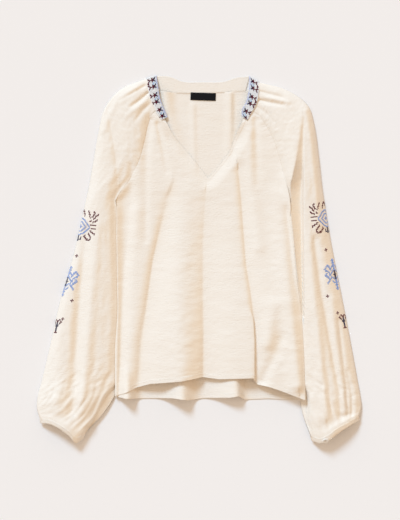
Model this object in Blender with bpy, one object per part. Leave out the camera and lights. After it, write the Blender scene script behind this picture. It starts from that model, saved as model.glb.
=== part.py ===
"""Gathered V-neck blouse with raglan balloon sleeves, laid flat on its back and seen from above.

All tables are in millimetres in the garment's own plan: x across (left and right as seen from above),
y up towards the neck, z up from the surface that the blouse lies on.
"""

from collections import namedtuple

import bmesh
import bpy
import numpy as np
from mathutils import Vector

MM = 0.001

# Cloth and seams
WALL = 1.2                 # wall of the crepe panels
BAND_WALL = 2.0            # folded bands: neck and cuffs
BACK_BAND_WALL = 1.6       # the back neck band, pressed flat
SEAM_GAP = 0.3             # pieces lie this far apart at a seam
RAGLAN_GAP = 0.42          # the same at the slanting raglan seams
STACK_GAP = 0.4            # between layers that lie on each other
EDGE_FOLD = 2.2            # half of a flattened tube's fold, seen from above
FLOOR_SNAP = 0.08          # a wall this close to the surface lies flat on it
SHARP = 0.9                # radians: edges sharper than this are shaded as edges

# Heights of the middle of the upper layer
REST_HEIGHT = 8.0          # front and sleeve tops near the neck
HEM_LIFT = 13.0            # how much the front rises from chest to hem
LIFT_FROM = 110.0          # the front starts to rise at this y
LIFT_RUN = 330.0           # and is up after this run
LAYER_CLEAR = 2.9          # least height of the front over the back, middle to middle
SIDE_SLACK = 0.9           # how far the front may press into that height at the side seams
WAVE_START = 0.15          # waves of the back lower than this lie flat
SIDE_RISE = 7.0            # side seams ride up on the sleeves' inner edges
SIDE_RUN = 25.0            # width of that rise
BELOW_ARM = 108.0          # the side seams start to rise below this line, and are up at the end of the run
BELOW_RUN = 20.0
SIDE_ROUND = 15.0          # width of the rounding of the front at the side seams
TUBE_LOW = 2.7             # least height of a sleeve's top over its underside
LEAST_PUFF = 0.4           # least puff above that
OUTER_ROUND = 15.0         # rounding of the sleeve's outer fold
INNER_ROUND = 13.0         # rounding of the sleeve beside the body
CUFF_LIFT = 4.0            # underside of the sleeve end over the surface
CUFF_GAP = 1.9             # cuff wall to sleeve wall along the seam, as they are not equally thick
CUFF_DROP = 8.0            # how much the cuff's top slopes down from its seam to its edge
CUFF_SWELL = 1.5           # the cuff's top stands this much over the rest height
CUFF_OPEN = 1.2            # least opening between the cuff's walls
CUFF_GATHER = 1.3          # half height of the gathers at the cuff
BAND_CROWN = 0.8           # crown of the front neck bands
LEFT, RIGHT = -1, 1

# Sleeve stations where something starts, and its run
UNDERARM = 0.44            # the tube closes
OPEN_TOP = 0.25            # the top's inner edge starts to come down to the underside
END_BOW = (0.90, 0.10)     # the sleeve end bows along the cuff seam
END_LIFT = (0.93, 0.07)    # its underside lifts to the cuff
END_GATHER = (0.86, 0.12)  # its gathers rise

# Mesh density
RAGLAN_ROWS = 9            # from neck to underarm
BODY_ROWS = 17             # from underarm to hem
SLEEVE_ROWS = 17           # from underarm to cuff
HALF_COLUMNS = 19          # front, side to centre line
BACK_COLUMNS = 31
TOP_COLUMNS = 25           # sleeve, upper layer
UNDER_COLUMNS = 9          # sleeve, lower layer
CUFF_COLUMNS = 16          # cuff, one layer
BAND_ROWS, BAND_COLUMNS = 13, 4
BACK_BAND_COLUMNS = 17
TIP_ROW = 2                # the V opens this many rows above the underarm

Station = namedtuple("Station", "t outer inner back margin crown")
Fold = namedtuple("Fold", "name kind path west east start end")
CuffRow = namedtuple("CuffRow", "seam edge")
Side = namedtuple("Side", "y left right")
BandRow = namedtuple("BandRow", "free seam height")
Look = namedtuple("Look", "colour roughness metallic")

# Sleeve stations from neck (t 0) to cuff (t 1). Inner runs down the front raglan seam and then the
# underarm fold, back down the back raglan seam. Margin is the flat strip tucked under the body.
SLEEVE_LEFT = (
    Station(0.000, (-103, 340), (-88, 281), (-76, 318), 0, 0),
    Station(0.090, (-150, 320), (-98, 256), (-86, 292), 0, 4),
    Station(0.180, (-181, 284), (-106, 222), (-98, 258), 0, 8),
    Station(0.270, (-193, 238), (-115, 188), (-112, 218), 0, 11),
    Station(0.360, (-203, 180), (-131, 153), (-131, 165), 0, 12),
    Station(0.440, (-212, 130), (-159, 110), (-159, 110), 4, 12),
    Station(0.500, (-222, 85), (-159, 76), (-159, 76), 5, 12),
    Station(0.600, (-241, 2), (-152, -10), (-152, -10), 9, 13),
    Station(0.700, (-264, -76), (-150, -85), (-150, -85), 9, 14),
    Station(0.800, (-283, -160), (-152, -158), (-152, -158), 9, 15),
    Station(0.890, (-300, -232), (-156, -228), (-156, -228), 10, 15),
    Station(0.945, (-309, -268), (-164, -266), (-164, -266), 19, 15),
    Station(0.975, (-309, -288), (-186, -298), (-186, -298), 15, 14),
    Station(1.000, (-304, -304), (-217, -330), (-217, -330), 3, 14),
)
SLEEVE_RIGHT = (
    Station(0.000, (113, 333), (109, 276), (88, 318), 0, 0),
    Station(0.090, (164, 319), (121, 258), (98, 292), 0, 4),
    Station(0.180, (203, 292), (134, 236), (106, 258), 0, 7),
    Station(0.270, (217, 254), (145, 208), (121, 218), 0, 10),
    Station(0.360, (226, 188), (157, 164), (146, 165), 0, 12),
    Station(0.440, (232, 135), (169, 112), (169, 112), 22, 13),
    Station(0.500, (239, 88), (173, 80), (173, 80), 22, 13),
    Station(0.600, (251, 18), (172, -5), (172, -5), 23, 14),
    Station(0.700, (268, -68), (182, -82), (182, -82), 16, 15),
    Station(0.800, (284, -150), (188, -160), (188, -160), 13, 15),
    Station(0.890, (299, -232), (190, -232), (190, -232), 13, 15),
    Station(0.945, (305, -266), (190, -270), (190, -270), 13, 15),
    Station(0.975, (306, -284), (197, -303), (197, -303), 6, 14),
    Station(1.000, (302, -299), (209, -336), (209, -336), 3, 14),
)

# Cuffs from the inner end to the outer end: the seam to the sleeve and the free edge
CUFF_LEFT = (
    CuffRow((-217, -330), (-222, -343)),
    CuffRow((-235, -339), (-235, -350)),
    CuffRow((-249, -327), (-247, -338)),
    CuffRow((-266, -315), (-263, -325)),
    CuffRow((-285, -306), (-284, -315)),
    CuffRow((-304, -304), (-303, -313)),
)
CUFF_RIGHT = (
    CuffRow((209, -336), (212, -346)),
    CuffRow((226, -341), (228, -351)),
    CuffRow((242, -335), (246, -344)),
    CuffRow((255, -325), (260, -333)),
    CuffRow((283, -309), (287, -316)),
    CuffRow((302, -299), (302, -308)),
)

# Side seams from hem to underarm
SIDES = (
    Side(-262, -161, 200),
    Side(-175, -161, 197),
    Side(-99, -157, 192),
    Side(-23, -158, 182),
    Side(53, -159, 175),
    Side(110, -158, 168),
)

# Hems, x and y from left to right
FRONT_HEM = ((-161, -262), (-141, -256), (-121, -246), (-95, -239), (-36, -234), (5, -226), (36, -230),
             (100, -228), (109, -240), (129, -244), (156, -253), (200, -270))
BACK_HEM = ((-161, -263), (-139, -267), (-51, -266), (-23, -270), (8, -266), (57, -265), (74, -262),
            (84, -269), (129, -267), (200, -271))

# Neck and V, from the tip of the V up to the tips of the embroidered bands
V_LEFT = ((15, 152), (-8, 183), (-19, 196), (-40, 220), (-53, 238), (-65, 260))
V_RIGHT = ((15, 152), (41, 183), (55, 203), (68, 234), (76, 250), (82, 264))
BACK_NECK = ((-76, 318), (-51, 314), (-19, 313), (49, 315), (88, 318))
BACK_BAND_TOP = ((-84, 346.5), (-55, 344), (-36, 336), (6, 334), (49, 336), (66, 342), (94, 345.5))
BACK_BAND_ENDS = (-74.8, 86.8)

# Front neck bands from the shoulder to the tip: free edge towards the neck, seam edge, height
BAND_LEFT = (
    BandRow((-81, 347.5), (-102, 341.0), 3.4),
    BandRow((-79, 327), (-97.0, 321.5), 7.6),
    BandRow((-76, 306), (-91.6, 300.5), 9.2),
    BandRow((-71, 291), (-86.9, 282.0), 9.2),
    BandRow((-64, 273), (-76.0, 271.0), 9.2),
    BandRow((-60.5, 263.5), (-64.5, 260.0), 8.6),
)
BAND_RIGHT = (
    BandRow((93, 346.5), (112.3, 334.0), 3.4),
    BandRow((94, 329), (111.0, 317.0), 7.6),
    BandRow((92, 312), (109.3, 296.0), 9.2),
    BandRow((89, 297), (107.7, 276.0), 9.2),
    BandRow((80, 281), (95.0, 270.5), 9.2),
    BandRow((78.5, 268.5), (83.0, 265.0), 8.6),
)

LABEL_CENTRE = (6, 306.5)
LABEL_SIZE = (48, 14.5, 0.8)
LABEL_TURN = -0.035        # radians

BUTTON_RADIUS = 6.0
BUTTON_THICK = 2.4
BUTTON_SIDES = 20
# Turned profile of the button, from the middle of its underside to the middle of its dish:
# shares of the radius and of the thickness
BUTTON_PROFILE = ((0.0, 0.0), (0.86, 0.0), (1.0, 0.4), (0.97, 0.8), (0.86, 1.0), (0.66, 0.96), (0.58, 0.67),
                  (0.0, 0.67))
RIGHT_BUTTON_COLUMN = 5    # on top of the right cuff, this far along it from the inner end
LEFT_BUTTON_COLUMN = 26    # on the hidden underside of the left cuff

# Folds of the front. A ridge or trough fades on both sides of its path by the two widths; a step moves
# everything east of its path. Heights run from the start of the path to its end.
FRONT_FOLDS = (
    Fold("left pleat", "trough", ((-63, 108), (-76, 72), (-93, -4), (-103, -80), (-114, -156), (-124, -243)),
         13, 8, -2.5, -11),
    Fold("left pleat crest", "ridge", ((-50, 95), (-70, 10), (-84, -80), (-97, -170)), 11, 22, 3, 3),
    Fold("centre pleat", "trough", ((12, 140), (5, 34), (1, -80), (-4, -165), (0, -230)), 18, 8, -3, -13),
    Fold("right pleat", "step", ((72, 167), (82, 60), (94, -42), (103, -156), (108, -232)), 6, 7, -1, -15),
    Fold("left panel crest", "ridge", ((-34, 120), (-40, -60), (-35, -232)), 26, 24, 3, 7),
    Fold("left side crest", "ridge", ((-122, 90), (-134, -90), (-139, -258)), 12, 12, 2, 5),
    Fold("left side valley", "trough", ((-131, 177), (-133, 72), (-139, -4)), 7, 7, -2, -1.5),
    Fold("left chest valley", "trough", ((-95, 262), (-102, 190), (-103, 110), (-103, 34)), 9, 7, -3, -2),
    Fold("left neck gather", "trough", ((-80, 253), (-68, 200), (-63, 165)), 6, 6, -2.5, -1),
    Fold("right chest valley", "trough", ((106, 262), (107, 205), (108, 140)), 7, 7, -2.5, -1.5),
    Fold("right chest ridge", "ridge", ((92, 240), (96, 150), (112, 20)), 10, 12, 2, 2.5),
    Fold("right side ridge", "ridge", ((150, 120), (160, 0), (174, -130), (186, -240)), 17, 12, 3, 9),
    Fold("right hem hollow", "trough", ((157, -150), (140, -185), (120, -232)), 9, 9, -2, -4),
    Fold("right hem rise", "ridge", ((140, -90), (128, -160)), 16, 12, 3, 5),
)

# Waves of the back hem, and the soft folds of the back seen through the V
BACK_FOLDS = (
    Fold("left wave", "ridge", ((-136, -150), (-138, -266)), 12, 14, 0, 24),
    Fold("middle wave", "ridge", ((-33, -120), (-34, -268)), 26, 18, 0, 25),
    Fold("right wave", "ridge", ((60, -120), (70, -268)), 34, 11, 0, 21),
    Fold("left neck fold", "ridge", ((-52, 312), (-50, 240), (-40, 190)), 6, 7, 3, 1),
    Fold("centre neck fold", "ridge", ((-13, 290), (-11, 190), (-8, 170)), 7, 5, 1.6, 1),
    Fold("right neck fold", "ridge", ((58, 312), (58, 250), (54, 180)), 9, 5, 3.5, 1),
)

# Folds and neck gathers of the sleeves
LEFT_FOLDS = (
    Fold("upper gather", "trough", ((-101, 312), (-115, 298), (-130, 290)), 5, 5, -3.5, -1.5),
    Fold("shoulder gather", "trough", ((-106, 326), (-130, 312), (-152, 300)), 4, 4, -2.5, -1.2),
    Fold("lower gather", "trough", ((-95, 292), (-108, 280), (-122, 262)), 4, 4, -2.5, -1),
    Fold("gather ridge", "ridge", ((-98, 303), (-118, 286), (-140, 268)), 5, 5, 2.5, 1),
    Fold("shoulder ridge", "ridge", ((-118, 322), (-160, 296), (-184, 240)), 7, 7, 2, 1.5),
    Fold("armhole valley", "trough", ((-176, 290), (-168, 220), (-163, 150), (-161, 112)), 11, 11, -3, -7),
    Fold("long fold", "trough", ((-213, 28), (-228, -80), (-236, -194), (-247, -296)), 11, 11, -2, -7),
    Fold("long ridge", "ridge", ((-196, 60), (-206, -60), (-216, -180), (-228, -290)), 13, 11, 2, 5),
    Fold("outer ridge", "ridge", ((-252, -60), (-268, -180), (-272, -285)), 13, 13, 1, 5),
    Fold("underarm crease", "trough", ((-160, -190), (-180, -240), (-205, -300)), 6, 6, -1, -4),
)
RIGHT_FOLDS = (
    Fold("upper gather", "trough", ((114, 316), (134, 310), (154, 305)), 4, 4, -2.5, -2),
    Fold("lower gather", "trough", ((113, 300), (134, 296), (160, 294)), 4, 4, -3.5, -1.5),
    Fold("small gather", "trough", ((111, 286), (126, 274), (140, 258)), 4, 4, -2.5, -1),
    Fold("gather ridge", "ridge", ((113, 308), (136, 303), (168, 296)), 4, 4, 2, 1.5),
    Fold("armhole hollow", "trough", ((195, 272), (189, 205), (181, 150), (180, 112)), 9, 11, -3, -13),
    Fold("shoulder ridge", "ridge", ((203, 280), (212, 224), (221, 140), (224, 60)), 9, 10, 4, 3),
    Fold("long fold", "trough", ((216, 34), (230, -70), (243, -156), (262, -292)), 8, 8, -2, -7),
    Fold("long ridge", "ridge", ((206, 30), (214, -70), (226, -170), (238, -300)), 11, 8, 2, 5),
    Fold("outer fold", "trough", ((262, -118), (276, -240), (281, -296)), 6, 6, -1, -4),
    Fold("outer ridge", "ridge", ((250, -80), (262, -200), (272, -290)), 8, 8, 2, 5),
)

CREAM = (0.89, 0.80, 0.66)
LOOKS = {
    "front": Look(CREAM, 0.85, 0.0),
    "back": Look((0.84, 0.74, 0.60), 0.85, 0.0),
    "sleeve_left": Look((0.87, 0.79, 0.66), 0.85, 0.0),
    "sleeve_right": Look((0.86, 0.79, 0.67), 0.85, 0.0),
    "cuff_left": Look((0.88, 0.79, 0.67), 0.85, 0.0),
    "cuff_right": Look((0.87, 0.79, 0.66), 0.85, 0.0),
    "neckband_back": Look((0.87, 0.77, 0.62), 0.85, 0.0),
    "neckband_left": Look((0.80, 0.80, 0.88), 0.8, 0.0),
    "neckband_right": Look((0.80, 0.80, 0.89), 0.8, 0.0),
    "label": Look((0.01, 0.01, 0.012), 0.7, 0.0),
    "button_left": Look((0.85, 0.84, 0.82), 0.3, 0.0),
    "button_right": Look((0.86, 0.84, 0.81), 0.3, 0.0),
}


def ease(x):
    """Smooth step from 0 to 1 while x goes from 0 to 1."""
    x = np.clip(x, 0.0, 1.0)
    return x * x * (3.0 - 2.0 * x)


def round_edge(distance, width):
    """Quarter ellipse: 0 at the edge, 1 from the given width inwards."""
    return np.sqrt(1.0 - (1.0 - np.clip(distance / width, 0.0, 1.0)) ** 2)


def curve(knots, values, t):
    """Smooth curve through the values at the knots, read at each t."""
    knots, values, t = np.asarray(knots, float), np.asarray(values, float), np.asarray(t, float)
    slopes = np.gradient(values, knots, axis=0)
    i = np.clip(np.searchsorted(knots, t, side="right") - 1, 0, len(knots) - 2)
    step = (knots[i + 1] - knots[i])[:, None]
    s = (t - knots[i])[:, None] / step
    start = (1 + 2 * s) * (1 - s) ** 2 * values[i] + s * (1 - s) ** 2 * step * slopes[i]
    end = s * s * (3 - 2 * s) * values[i + 1] + s * s * (s - 1) * step * slopes[i + 1]
    return start + end


def spread(points, count):
    """Evenly spaced points on a smooth curve through the given ones."""
    points = np.asarray(points, float)
    run = np.concatenate(([0.0], np.cumsum(np.linalg.norm(np.diff(points, axis=0), axis=1))))
    return curve(run, points, np.linspace(0.0, run[-1], count))


def fold_height(fold, x, y):
    """Height that one fold adds at the given places."""
    path = np.asarray(fold.path, float)
    nearest = np.full(np.shape(x), np.inf)
    signed = np.zeros(np.shape(x))
    along = np.zeros(np.shape(x))
    spans = len(path) - 1
    for i in range(spans):
        run = path[i + 1] - path[i]
        s = np.clip(((x - path[i][0]) * run[0] + (y - path[i][1]) * run[1]) / (run @ run), 0.0, 1.0)
        dx = x - path[i][0] - s * run[0]
        dy = y - path[i][1] - s * run[1]
        gap = np.hypot(dx, dy)
        closer = gap < nearest
        nearest = np.where(closer, gap, nearest)
        signed = np.where(closer, np.sign(run[0] * dy - run[1] * dx) * gap, signed)
        along = np.where(closer, (i + s) / spans, along)
    height = fold.start + (fold.end - fold.start) * along
    if fold.kind == "step":
        return height * ease((signed + fold.west) / (fold.west + fold.east))
    width = np.where(signed > 0, fold.east, fold.west)
    return height * np.exp(-(nearest / width) ** 2)


def folds_height(folds, x, y):
    """Sum of all folds at the given places."""
    return sum(fold_height(fold, x, y) for fold in folds)


def side_x(y, side):
    """Plan x of the left or right side seam at height y."""
    rows = [(row.left if side == LEFT else row.right,) for row in SIDES]
    return curve([row.y for row in SIDES], rows, np.atleast_1d(y))[:, 0]


def thicken(points, wall, joined_from=None):
    """Closed solid around a grid of middle points; rows from joined_from on are closed rings.

    At open edges the wall stands upright, so that neighbours keep their gap in plan.
    """
    rows, columns = points.shape[:2]
    joined = np.zeros(rows, bool) if joined_from is None else np.arange(rows) >= joined_from
    index = np.arange(rows * columns).reshape(rows, columns)
    index[joined, -1] = index[joined, 0]
    along = np.gradient(points, axis=0)
    across = np.gradient(points, axis=1)
    ring = points[joined][:, 1] - points[joined][:, -2]
    across[joined, 0] = ring
    across[joined, -1] = ring
    normal = np.cross(across, along)
    for row in (0, rows - 1):
        normal[row] = without(normal[row], along[row])
    for column in (0, columns - 1):
        normal[~joined, column] = without(normal[~joined, column], across[~joined, column])
    normal /= np.linalg.norm(normal, axis=2)[..., None]
    outer = points + normal * wall / 2
    inner = points - normal * wall / 2
    floor = np.abs(points[..., 2] - wall / 2) < 1e-6
    for layer in (outer, inner):
        layer[..., 2] = np.where(floor & (layer[..., 2] < FLOOR_SNAP), 0.0, layer[..., 2])
    faces = []
    for r in range(rows - 1):
        for c in range(columns - 1):
            quad = (index[r, c], index[r, c + 1], index[r + 1, c + 1], index[r + 1, c])
            if len(set(quad)) == 4:
                faces.append(quad)
    count = rows * columns
    directed = {(quad[i], quad[(i + 1) % 4]) for quad in faces for i in range(4)}
    shell = list(faces) + [tuple(v + count for v in reversed(quad)) for quad in faces]
    shell += [(b, a, a + count, b + count) for a, b in directed if (b, a) not in directed]
    return np.concatenate((outer.reshape(-1, 3), inner.reshape(-1, 3))), sorted(shell)


def without(vectors, direction):
    """The vectors with no part along the level run of the direction."""
    level = direction.copy()
    level[:, 2] = 0.0
    level /= np.maximum(np.linalg.norm(level, axis=1), 1e-9)[:, None]
    return vectors - np.sum(vectors * level, axis=1)[:, None] * level


def make_object(name, points, faces):
    """Mesh object of the given name, facing out, with its own material."""
    mesh = bpy.data.meshes.new(name)
    mesh.from_pydata([tuple(p) for p in np.asarray(points) * MM], [], [tuple(int(v) for v in f) for f in faces])
    work = bmesh.new()
    work.from_mesh(mesh)
    loose = [v for v in work.verts if not v.link_faces]
    bmesh.ops.delete(work, geom=loose, context="VERTS")
    bmesh.ops.triangulate(work, faces=work.faces[:])
    if work.calc_volume(signed=True) < 0:
        bmesh.ops.reverse_faces(work, faces=work.faces[:])
    work.to_mesh(mesh)
    work.free()
    mesh.shade_smooth()
    mesh.set_sharp_from_angle(angle=SHARP)
    return place(name, mesh)


def place(name, mesh):
    """Object of the given mesh in the scene, with the piece's own material."""
    solid = bpy.data.objects.new(name, mesh)
    bpy.context.collection.objects.link(solid)
    look = LOOKS[name]
    material = bpy.data.materials.new(name + "_finish")
    material.use_nodes = True
    shader = material.node_tree.nodes["Principled BSDF"]
    shader.inputs["Base Color"].default_value = (*look.colour, 1.0)
    shader.inputs["Roughness"].default_value = look.roughness
    shader.inputs["Metallic"].default_value = look.metallic
    mesh.materials.append(material)
    return solid


def sleeve_rows(stations):
    """The stations read at every row of the sleeve, from neck to cuff."""
    t = np.concatenate((np.linspace(0.0, UNDERARM, RAGLAN_ROWS + 1),
                        np.linspace(UNDERARM, 1.0, SLEEVE_ROWS + 1)[1:]))
    table = [(*row.outer, *row.inner, *row.back, row.margin, row.crown) for row in stations]
    return t, curve([row.t for row in stations], table, t)


def upper_height(folds, x, y):
    """Middle height of the upper layer before its edges are rounded."""
    return REST_HEIGHT + folds_height(folds, x, y)


def back_height(x, y, edge_left, edge_right):
    """Middle height of the back: flat, but for hem waves, neck folds and the raised side seams."""
    edge = np.minimum(x - edge_left, edge_right - x)
    below = ease((BELOW_ARM - y) / BELOW_RUN)
    rise = SIDE_RISE * ease((SIDE_RUN - edge) / SIDE_RUN) * below
    waves = folds_height(BACK_FOLDS, x, y)
    return WALL / 2 + rise + np.where(waves > WAVE_START, waves - WAVE_START, 0.0)


def front_height(x, y, edge_left, edge_right):
    """Middle height of the front, kept clear of the back under it."""
    below = ease((BELOW_ARM - y) / BELOW_RUN)
    lift = HEM_LIFT * ease((LIFT_FROM - y) / LIFT_RUN)
    folds = FRONT_FOLDS + LEFT_FOLDS[:6] + RIGHT_FOLDS[:6]
    height = upper_height(folds, x, y) + lift
    under = back_height(x, y, edge_left, edge_right) + LAYER_CLEAR
    height = 0.5 * (height + under + np.sqrt((height - under) ** 2 + 1.0))
    edge = np.minimum(x - edge_left, edge_right - x)
    seam = WALL / 2 + SIDE_RISE + WALL + STACK_GAP
    rounded = seam + (height - seam) * round_edge(edge, SIDE_ROUND)
    return height * (1 - below) + np.maximum(rounded, under - SIDE_SLACK) * below


def front_half(stations, side):
    """Middle points of half of the front, from the side seam to the centre line or the V."""
    _, sleeve = sleeve_rows(stations)
    raglan = sleeve[RAGLAN_ROWS::-1, 2:4].copy()
    raglan[:, 0] -= side * RAGLAN_GAP
    share = np.linspace(0.0, 1.0, BODY_ROWS + 1)
    hem_x = side_x(SIDES[0].y, side)[0]
    hem_y = np.interp(hem_x, *zip(*FRONT_HEM))
    low_y = hem_y + (raglan[0, 1] - hem_y) * share
    low = np.stack((side_x(low_y, side), low_y), axis=1)
    outer = np.concatenate((low[:-1], raglan))
    tip = np.asarray(V_LEFT[0], float)
    centre_hem = np.interp(tip[0], *zip(*FRONT_HEM))
    lower = np.linspace(centre_hem, tip[1], BODY_ROWS + TIP_ROW + 1)
    centre = np.stack((np.full(len(lower), tip[0]), lower), axis=1)
    edge = spread(V_LEFT if side == LEFT else V_RIGHT, RAGLAN_ROWS - TIP_ROW + 1)
    inner = np.concatenate((centre[:-1], edge))
    s = np.linspace(0.0, 1.0, HALF_COLUMNS + 1)[None, :, None]
    plan = outer[:, None] * (1 - s) + inner[:, None] * s
    return follow_hem(plan, FRONT_HEM)


def follow_hem(plan, hem):
    """Bends the lowest rows so that the first one lies on the hem line."""
    x = plan[0, :, 0]
    drop = np.interp(x, *zip(*hem)) - plan[0, :, 1]
    fade = 1.0 - ease(np.arange(len(plan)) / (BODY_ROWS * 0.5))
    plan[..., 1] += fade[:, None] * drop[None, :]
    return plan


def edges_at(y):
    """Side seam x on the left and right at height y; above the underarm the last value holds."""
    flat = np.clip(np.ravel(y), SIDES[0].y, SIDES[-1].y)
    return side_x(flat, LEFT).reshape(np.shape(y)), side_x(flat, RIGHT).reshape(np.shape(y))


def build_front():
    """Front panel: two halves joined on the centre line up to the tip of the V."""
    halves = []
    for stations, side in ((SLEEVE_LEFT, LEFT), (SLEEVE_RIGHT, RIGHT)):
        plan = front_half(stations, side)
        halves.append(plan if side == LEFT else plan[:, ::-1])
    rows = len(halves[0])
    left, right = halves
    tip = BODY_ROWS + TIP_ROW
    right[: tip + 1, 0] = left[: tip + 1, -1]
    plan = np.concatenate((left, right), axis=1)
    left_edge, right_edge = edges_at(plan[..., 1])
    height = front_height(plan[..., 0], plan[..., 1], left_edge, right_edge)
    middle = np.dstack((plan, height))
    sheet_left, faces_left = thicken(middle[:, : HALF_COLUMNS + 1], WALL)
    sheet_right, faces_right = thicken(middle[:, HALF_COLUMNS + 1:], WALL)
    columns = HALF_COLUMNS + 1
    half = rows * columns
    for layer in (0, half):
        for row in range(tip + 1):
            a, b = layer + row * columns + HALF_COLUMNS, layer + row * columns
            both = (sheet_left[a] + sheet_right[b]) / 2
            sheet_left[a] = sheet_right[b] = both
    points = np.concatenate((sheet_left, sheet_right))
    merged = {}
    for layer in (0, half):
        for row in range(tip + 1):
            merged[len(sheet_left) + layer + row * columns] = layer + row * columns + HALF_COLUMNS
    faces = [tuple(f) for f in faces_left] + [tuple(v + len(sheet_left) for v in f) for f in faces_right]
    faces = [tuple(merged.get(v, v) for v in f) for f in faces]
    wall = [f for f in faces if all(v % half % columns == HALF_COLUMNS and v < len(sheet_left)
                                    and (v % half) // columns <= tip for v in f)]
    faces = [f for f in faces if f not in wall]
    make_object("front", points, faces)


def build_back():
    """Back panel: flat on the surface, with waves at the hem and raised side seams."""
    _, left = sleeve_rows(SLEEVE_LEFT)
    _, right = sleeve_rows(SLEEVE_RIGHT)
    bounds = []
    for sleeve, side in ((left, LEFT), (right, RIGHT)):
        raglan = sleeve[RAGLAN_ROWS::-1, 4:6].copy()
        raglan[:, 0] -= side * RAGLAN_GAP
        hem_x = side_x(SIDES[0].y, side)[0]
        hem_y = np.interp(hem_x, *zip(*BACK_HEM))
        low_y = hem_y + (raglan[0, 1] - hem_y) * np.linspace(0.0, 1.0, BODY_ROWS + 1)
        low = np.stack((side_x(low_y, side), low_y), axis=1)
        bounds.append(np.concatenate((low[:-1], raglan)))
    s = np.linspace(0.0, 1.0, BACK_COLUMNS + 1)[None, :, None]
    plan = follow_hem(bounds[0][:, None] * (1 - s) + bounds[1][:, None] * s, BACK_HEM)
    neck = np.interp(plan[-1, :, 0], *zip(*BACK_NECK)) - 2 * SEAM_GAP - plan[-1, :, 1]
    plan[-1, :, 1] += neck
    plan[-2, :, 1] += neck / 2
    left_edge, right_edge = edges_at(plan[..., 1])
    height = back_height(plan[..., 0], plan[..., 1], left_edge, right_edge)
    make_object("back", *thicken(np.dstack((plan, height)), WALL))


def build_sleeve(name, stations, cuff, folds):
    """Sleeve: open over the raglan seams, a closed tube from the underarm to the cuff."""
    t, rows = sleeve_rows(stations)
    seam = spread([row.seam for row in cuff], TOP_COLUMNS + 1)
    points = []
    for r, (tt, row) in enumerate(zip(t, rows)):
        outer, inner, back = row[0:2], row[2:4], row[4:6]
        margin, crown = row[6], row[7]
        closed = r >= RAGLAN_ROWS
        opening = 1.0 - ease((tt - OPEN_TOP) / (UNDERARM - OPEN_TOP))
        low = WALL / 2 + CUFF_LIFT * grown(tt, END_LIFT)
        end = grown(tt, END_BOW)
        span = np.linalg.norm(outer - inner)
        s = np.concatenate(([0.0], np.linspace(EDGE_FOLD / span, 1 - EDGE_FOLD / span, TOP_COLUMNS)))
        top = inner * (1 - s[:, None]) + outer * s[:, None]
        bow = bow_at(seam, s)
        top += end * bow
        height = upper_height(folds, top[:, 0], top[:, 1]) + crown * 4 * s * (1 - s)
        from_in, from_out = s * span, (1 - s) * span
        inner_edge = round_edge(from_in - margin, INNER_ROUND)
        edge = (opening + (1 - opening) * inner_edge) * round_edge(from_out, OUTER_ROUND)
        gather = CUFF_GATHER * grown(tt, END_GATHER) * np.where(np.arange(len(s)) % 2, 1, -1)
        body = np.maximum(height + gather - low - TUBE_LOW, LEAST_PUFF)
        z = low + TUBE_LOW + body * edge
        if closed:
            z[0] = low + TUBE_LOW / 2
        upper = np.column_stack((top, z))
        fold = np.array([[*(outer + end * bow[-1]), low + TUBE_LOW / 2]])
        s = np.linspace(1 - EDGE_FOLD / span, 0.0, UNDER_COLUMNS + 1)
        if closed:
            s = np.concatenate((np.linspace(1 - EDGE_FOLD / span, EDGE_FOLD / span, UNDER_COLUMNS), [0.0]))
        under = back * (1 - s[:, None]) + outer * s[:, None]
        under += end * bow_at(seam, s)
        lower = np.column_stack((under, np.full(len(s), low)))
        if closed:
            lower[-1] = upper[0]
        points.append(np.concatenate((upper, fold, lower)))
    make_object(name, *thicken(np.array(points), WALL, joined_from=RAGLAN_ROWS))


def grown(t, start_run):
    """How far something has grown at station t, from 0 at its start to 1 after its run."""
    start, run = start_run
    return ease((t - start) / run)


def bow_at(seam, s):
    """How far the cuff seam departs from a straight line, read at each share of its width."""
    count = len(seam)
    share = np.linspace(0.0, 1.0, count)
    line = seam[0] * (1 - share[:, None]) + seam[-1] * share[:, None]
    off = seam - line
    return np.column_stack([np.interp(s, share, off[:, i]) for i in (0, 1)])


def build_cuff(name, crown, cuff):
    """Cuff: a narrow flattened band that carries on from the gathered sleeve end."""
    low = BAND_WALL / 2 + CUFF_LIFT
    inset = EDGE_FOLD + BAND_WALL / 2
    seam, edge = (spread(points, CUFF_COLUMNS) for points in zip(*cuff))
    rows = []
    for share in (0.0, 0.5, 1.0):
        line = seam * (1 - share) + edge * share
        line = line + (edge - seam) / np.linalg.norm(edge - seam, axis=1)[:, None] * CUFF_GAP * (1 - share)
        run = np.concatenate(([0.0], np.cumsum(np.linalg.norm(np.diff(line, axis=0), axis=1))))
        s = run / run[-1]
        height = REST_HEIGHT + crown * 4 * s * (1 - s) + CUFF_SWELL
        rounding = round_edge(np.minimum(run, run[-1] - run) + inset, OUTER_ROUND)
        top = low + BAND_WALL + CUFF_OPEN + (height - low - CUFF_DROP * share) * rounding
        inward = (line[1] - line[0]) / np.linalg.norm(line[1] - line[0]) * inset
        outward = (line[-1] - line[-2]) / np.linalg.norm(line[-1] - line[-2]) * inset
        pinched = line.copy()
        pinched[0] += inward
        pinched[-1] -= outward
        upper = np.column_stack((pinched, top))
        lower = np.column_stack((pinched, np.full(CUFF_COLUMNS, low)))[::-1]
        far = np.array([[*line[-1], (low + top[-1]) / 2]])
        near = np.array([[*line[0], (low + top[0]) / 2]])
        rows.append(np.concatenate((near, upper, far, lower, near)))
    middle = np.array(rows)
    make_object(name, *thicken(middle, BAND_WALL, joined_from=0))
    return middle


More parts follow.
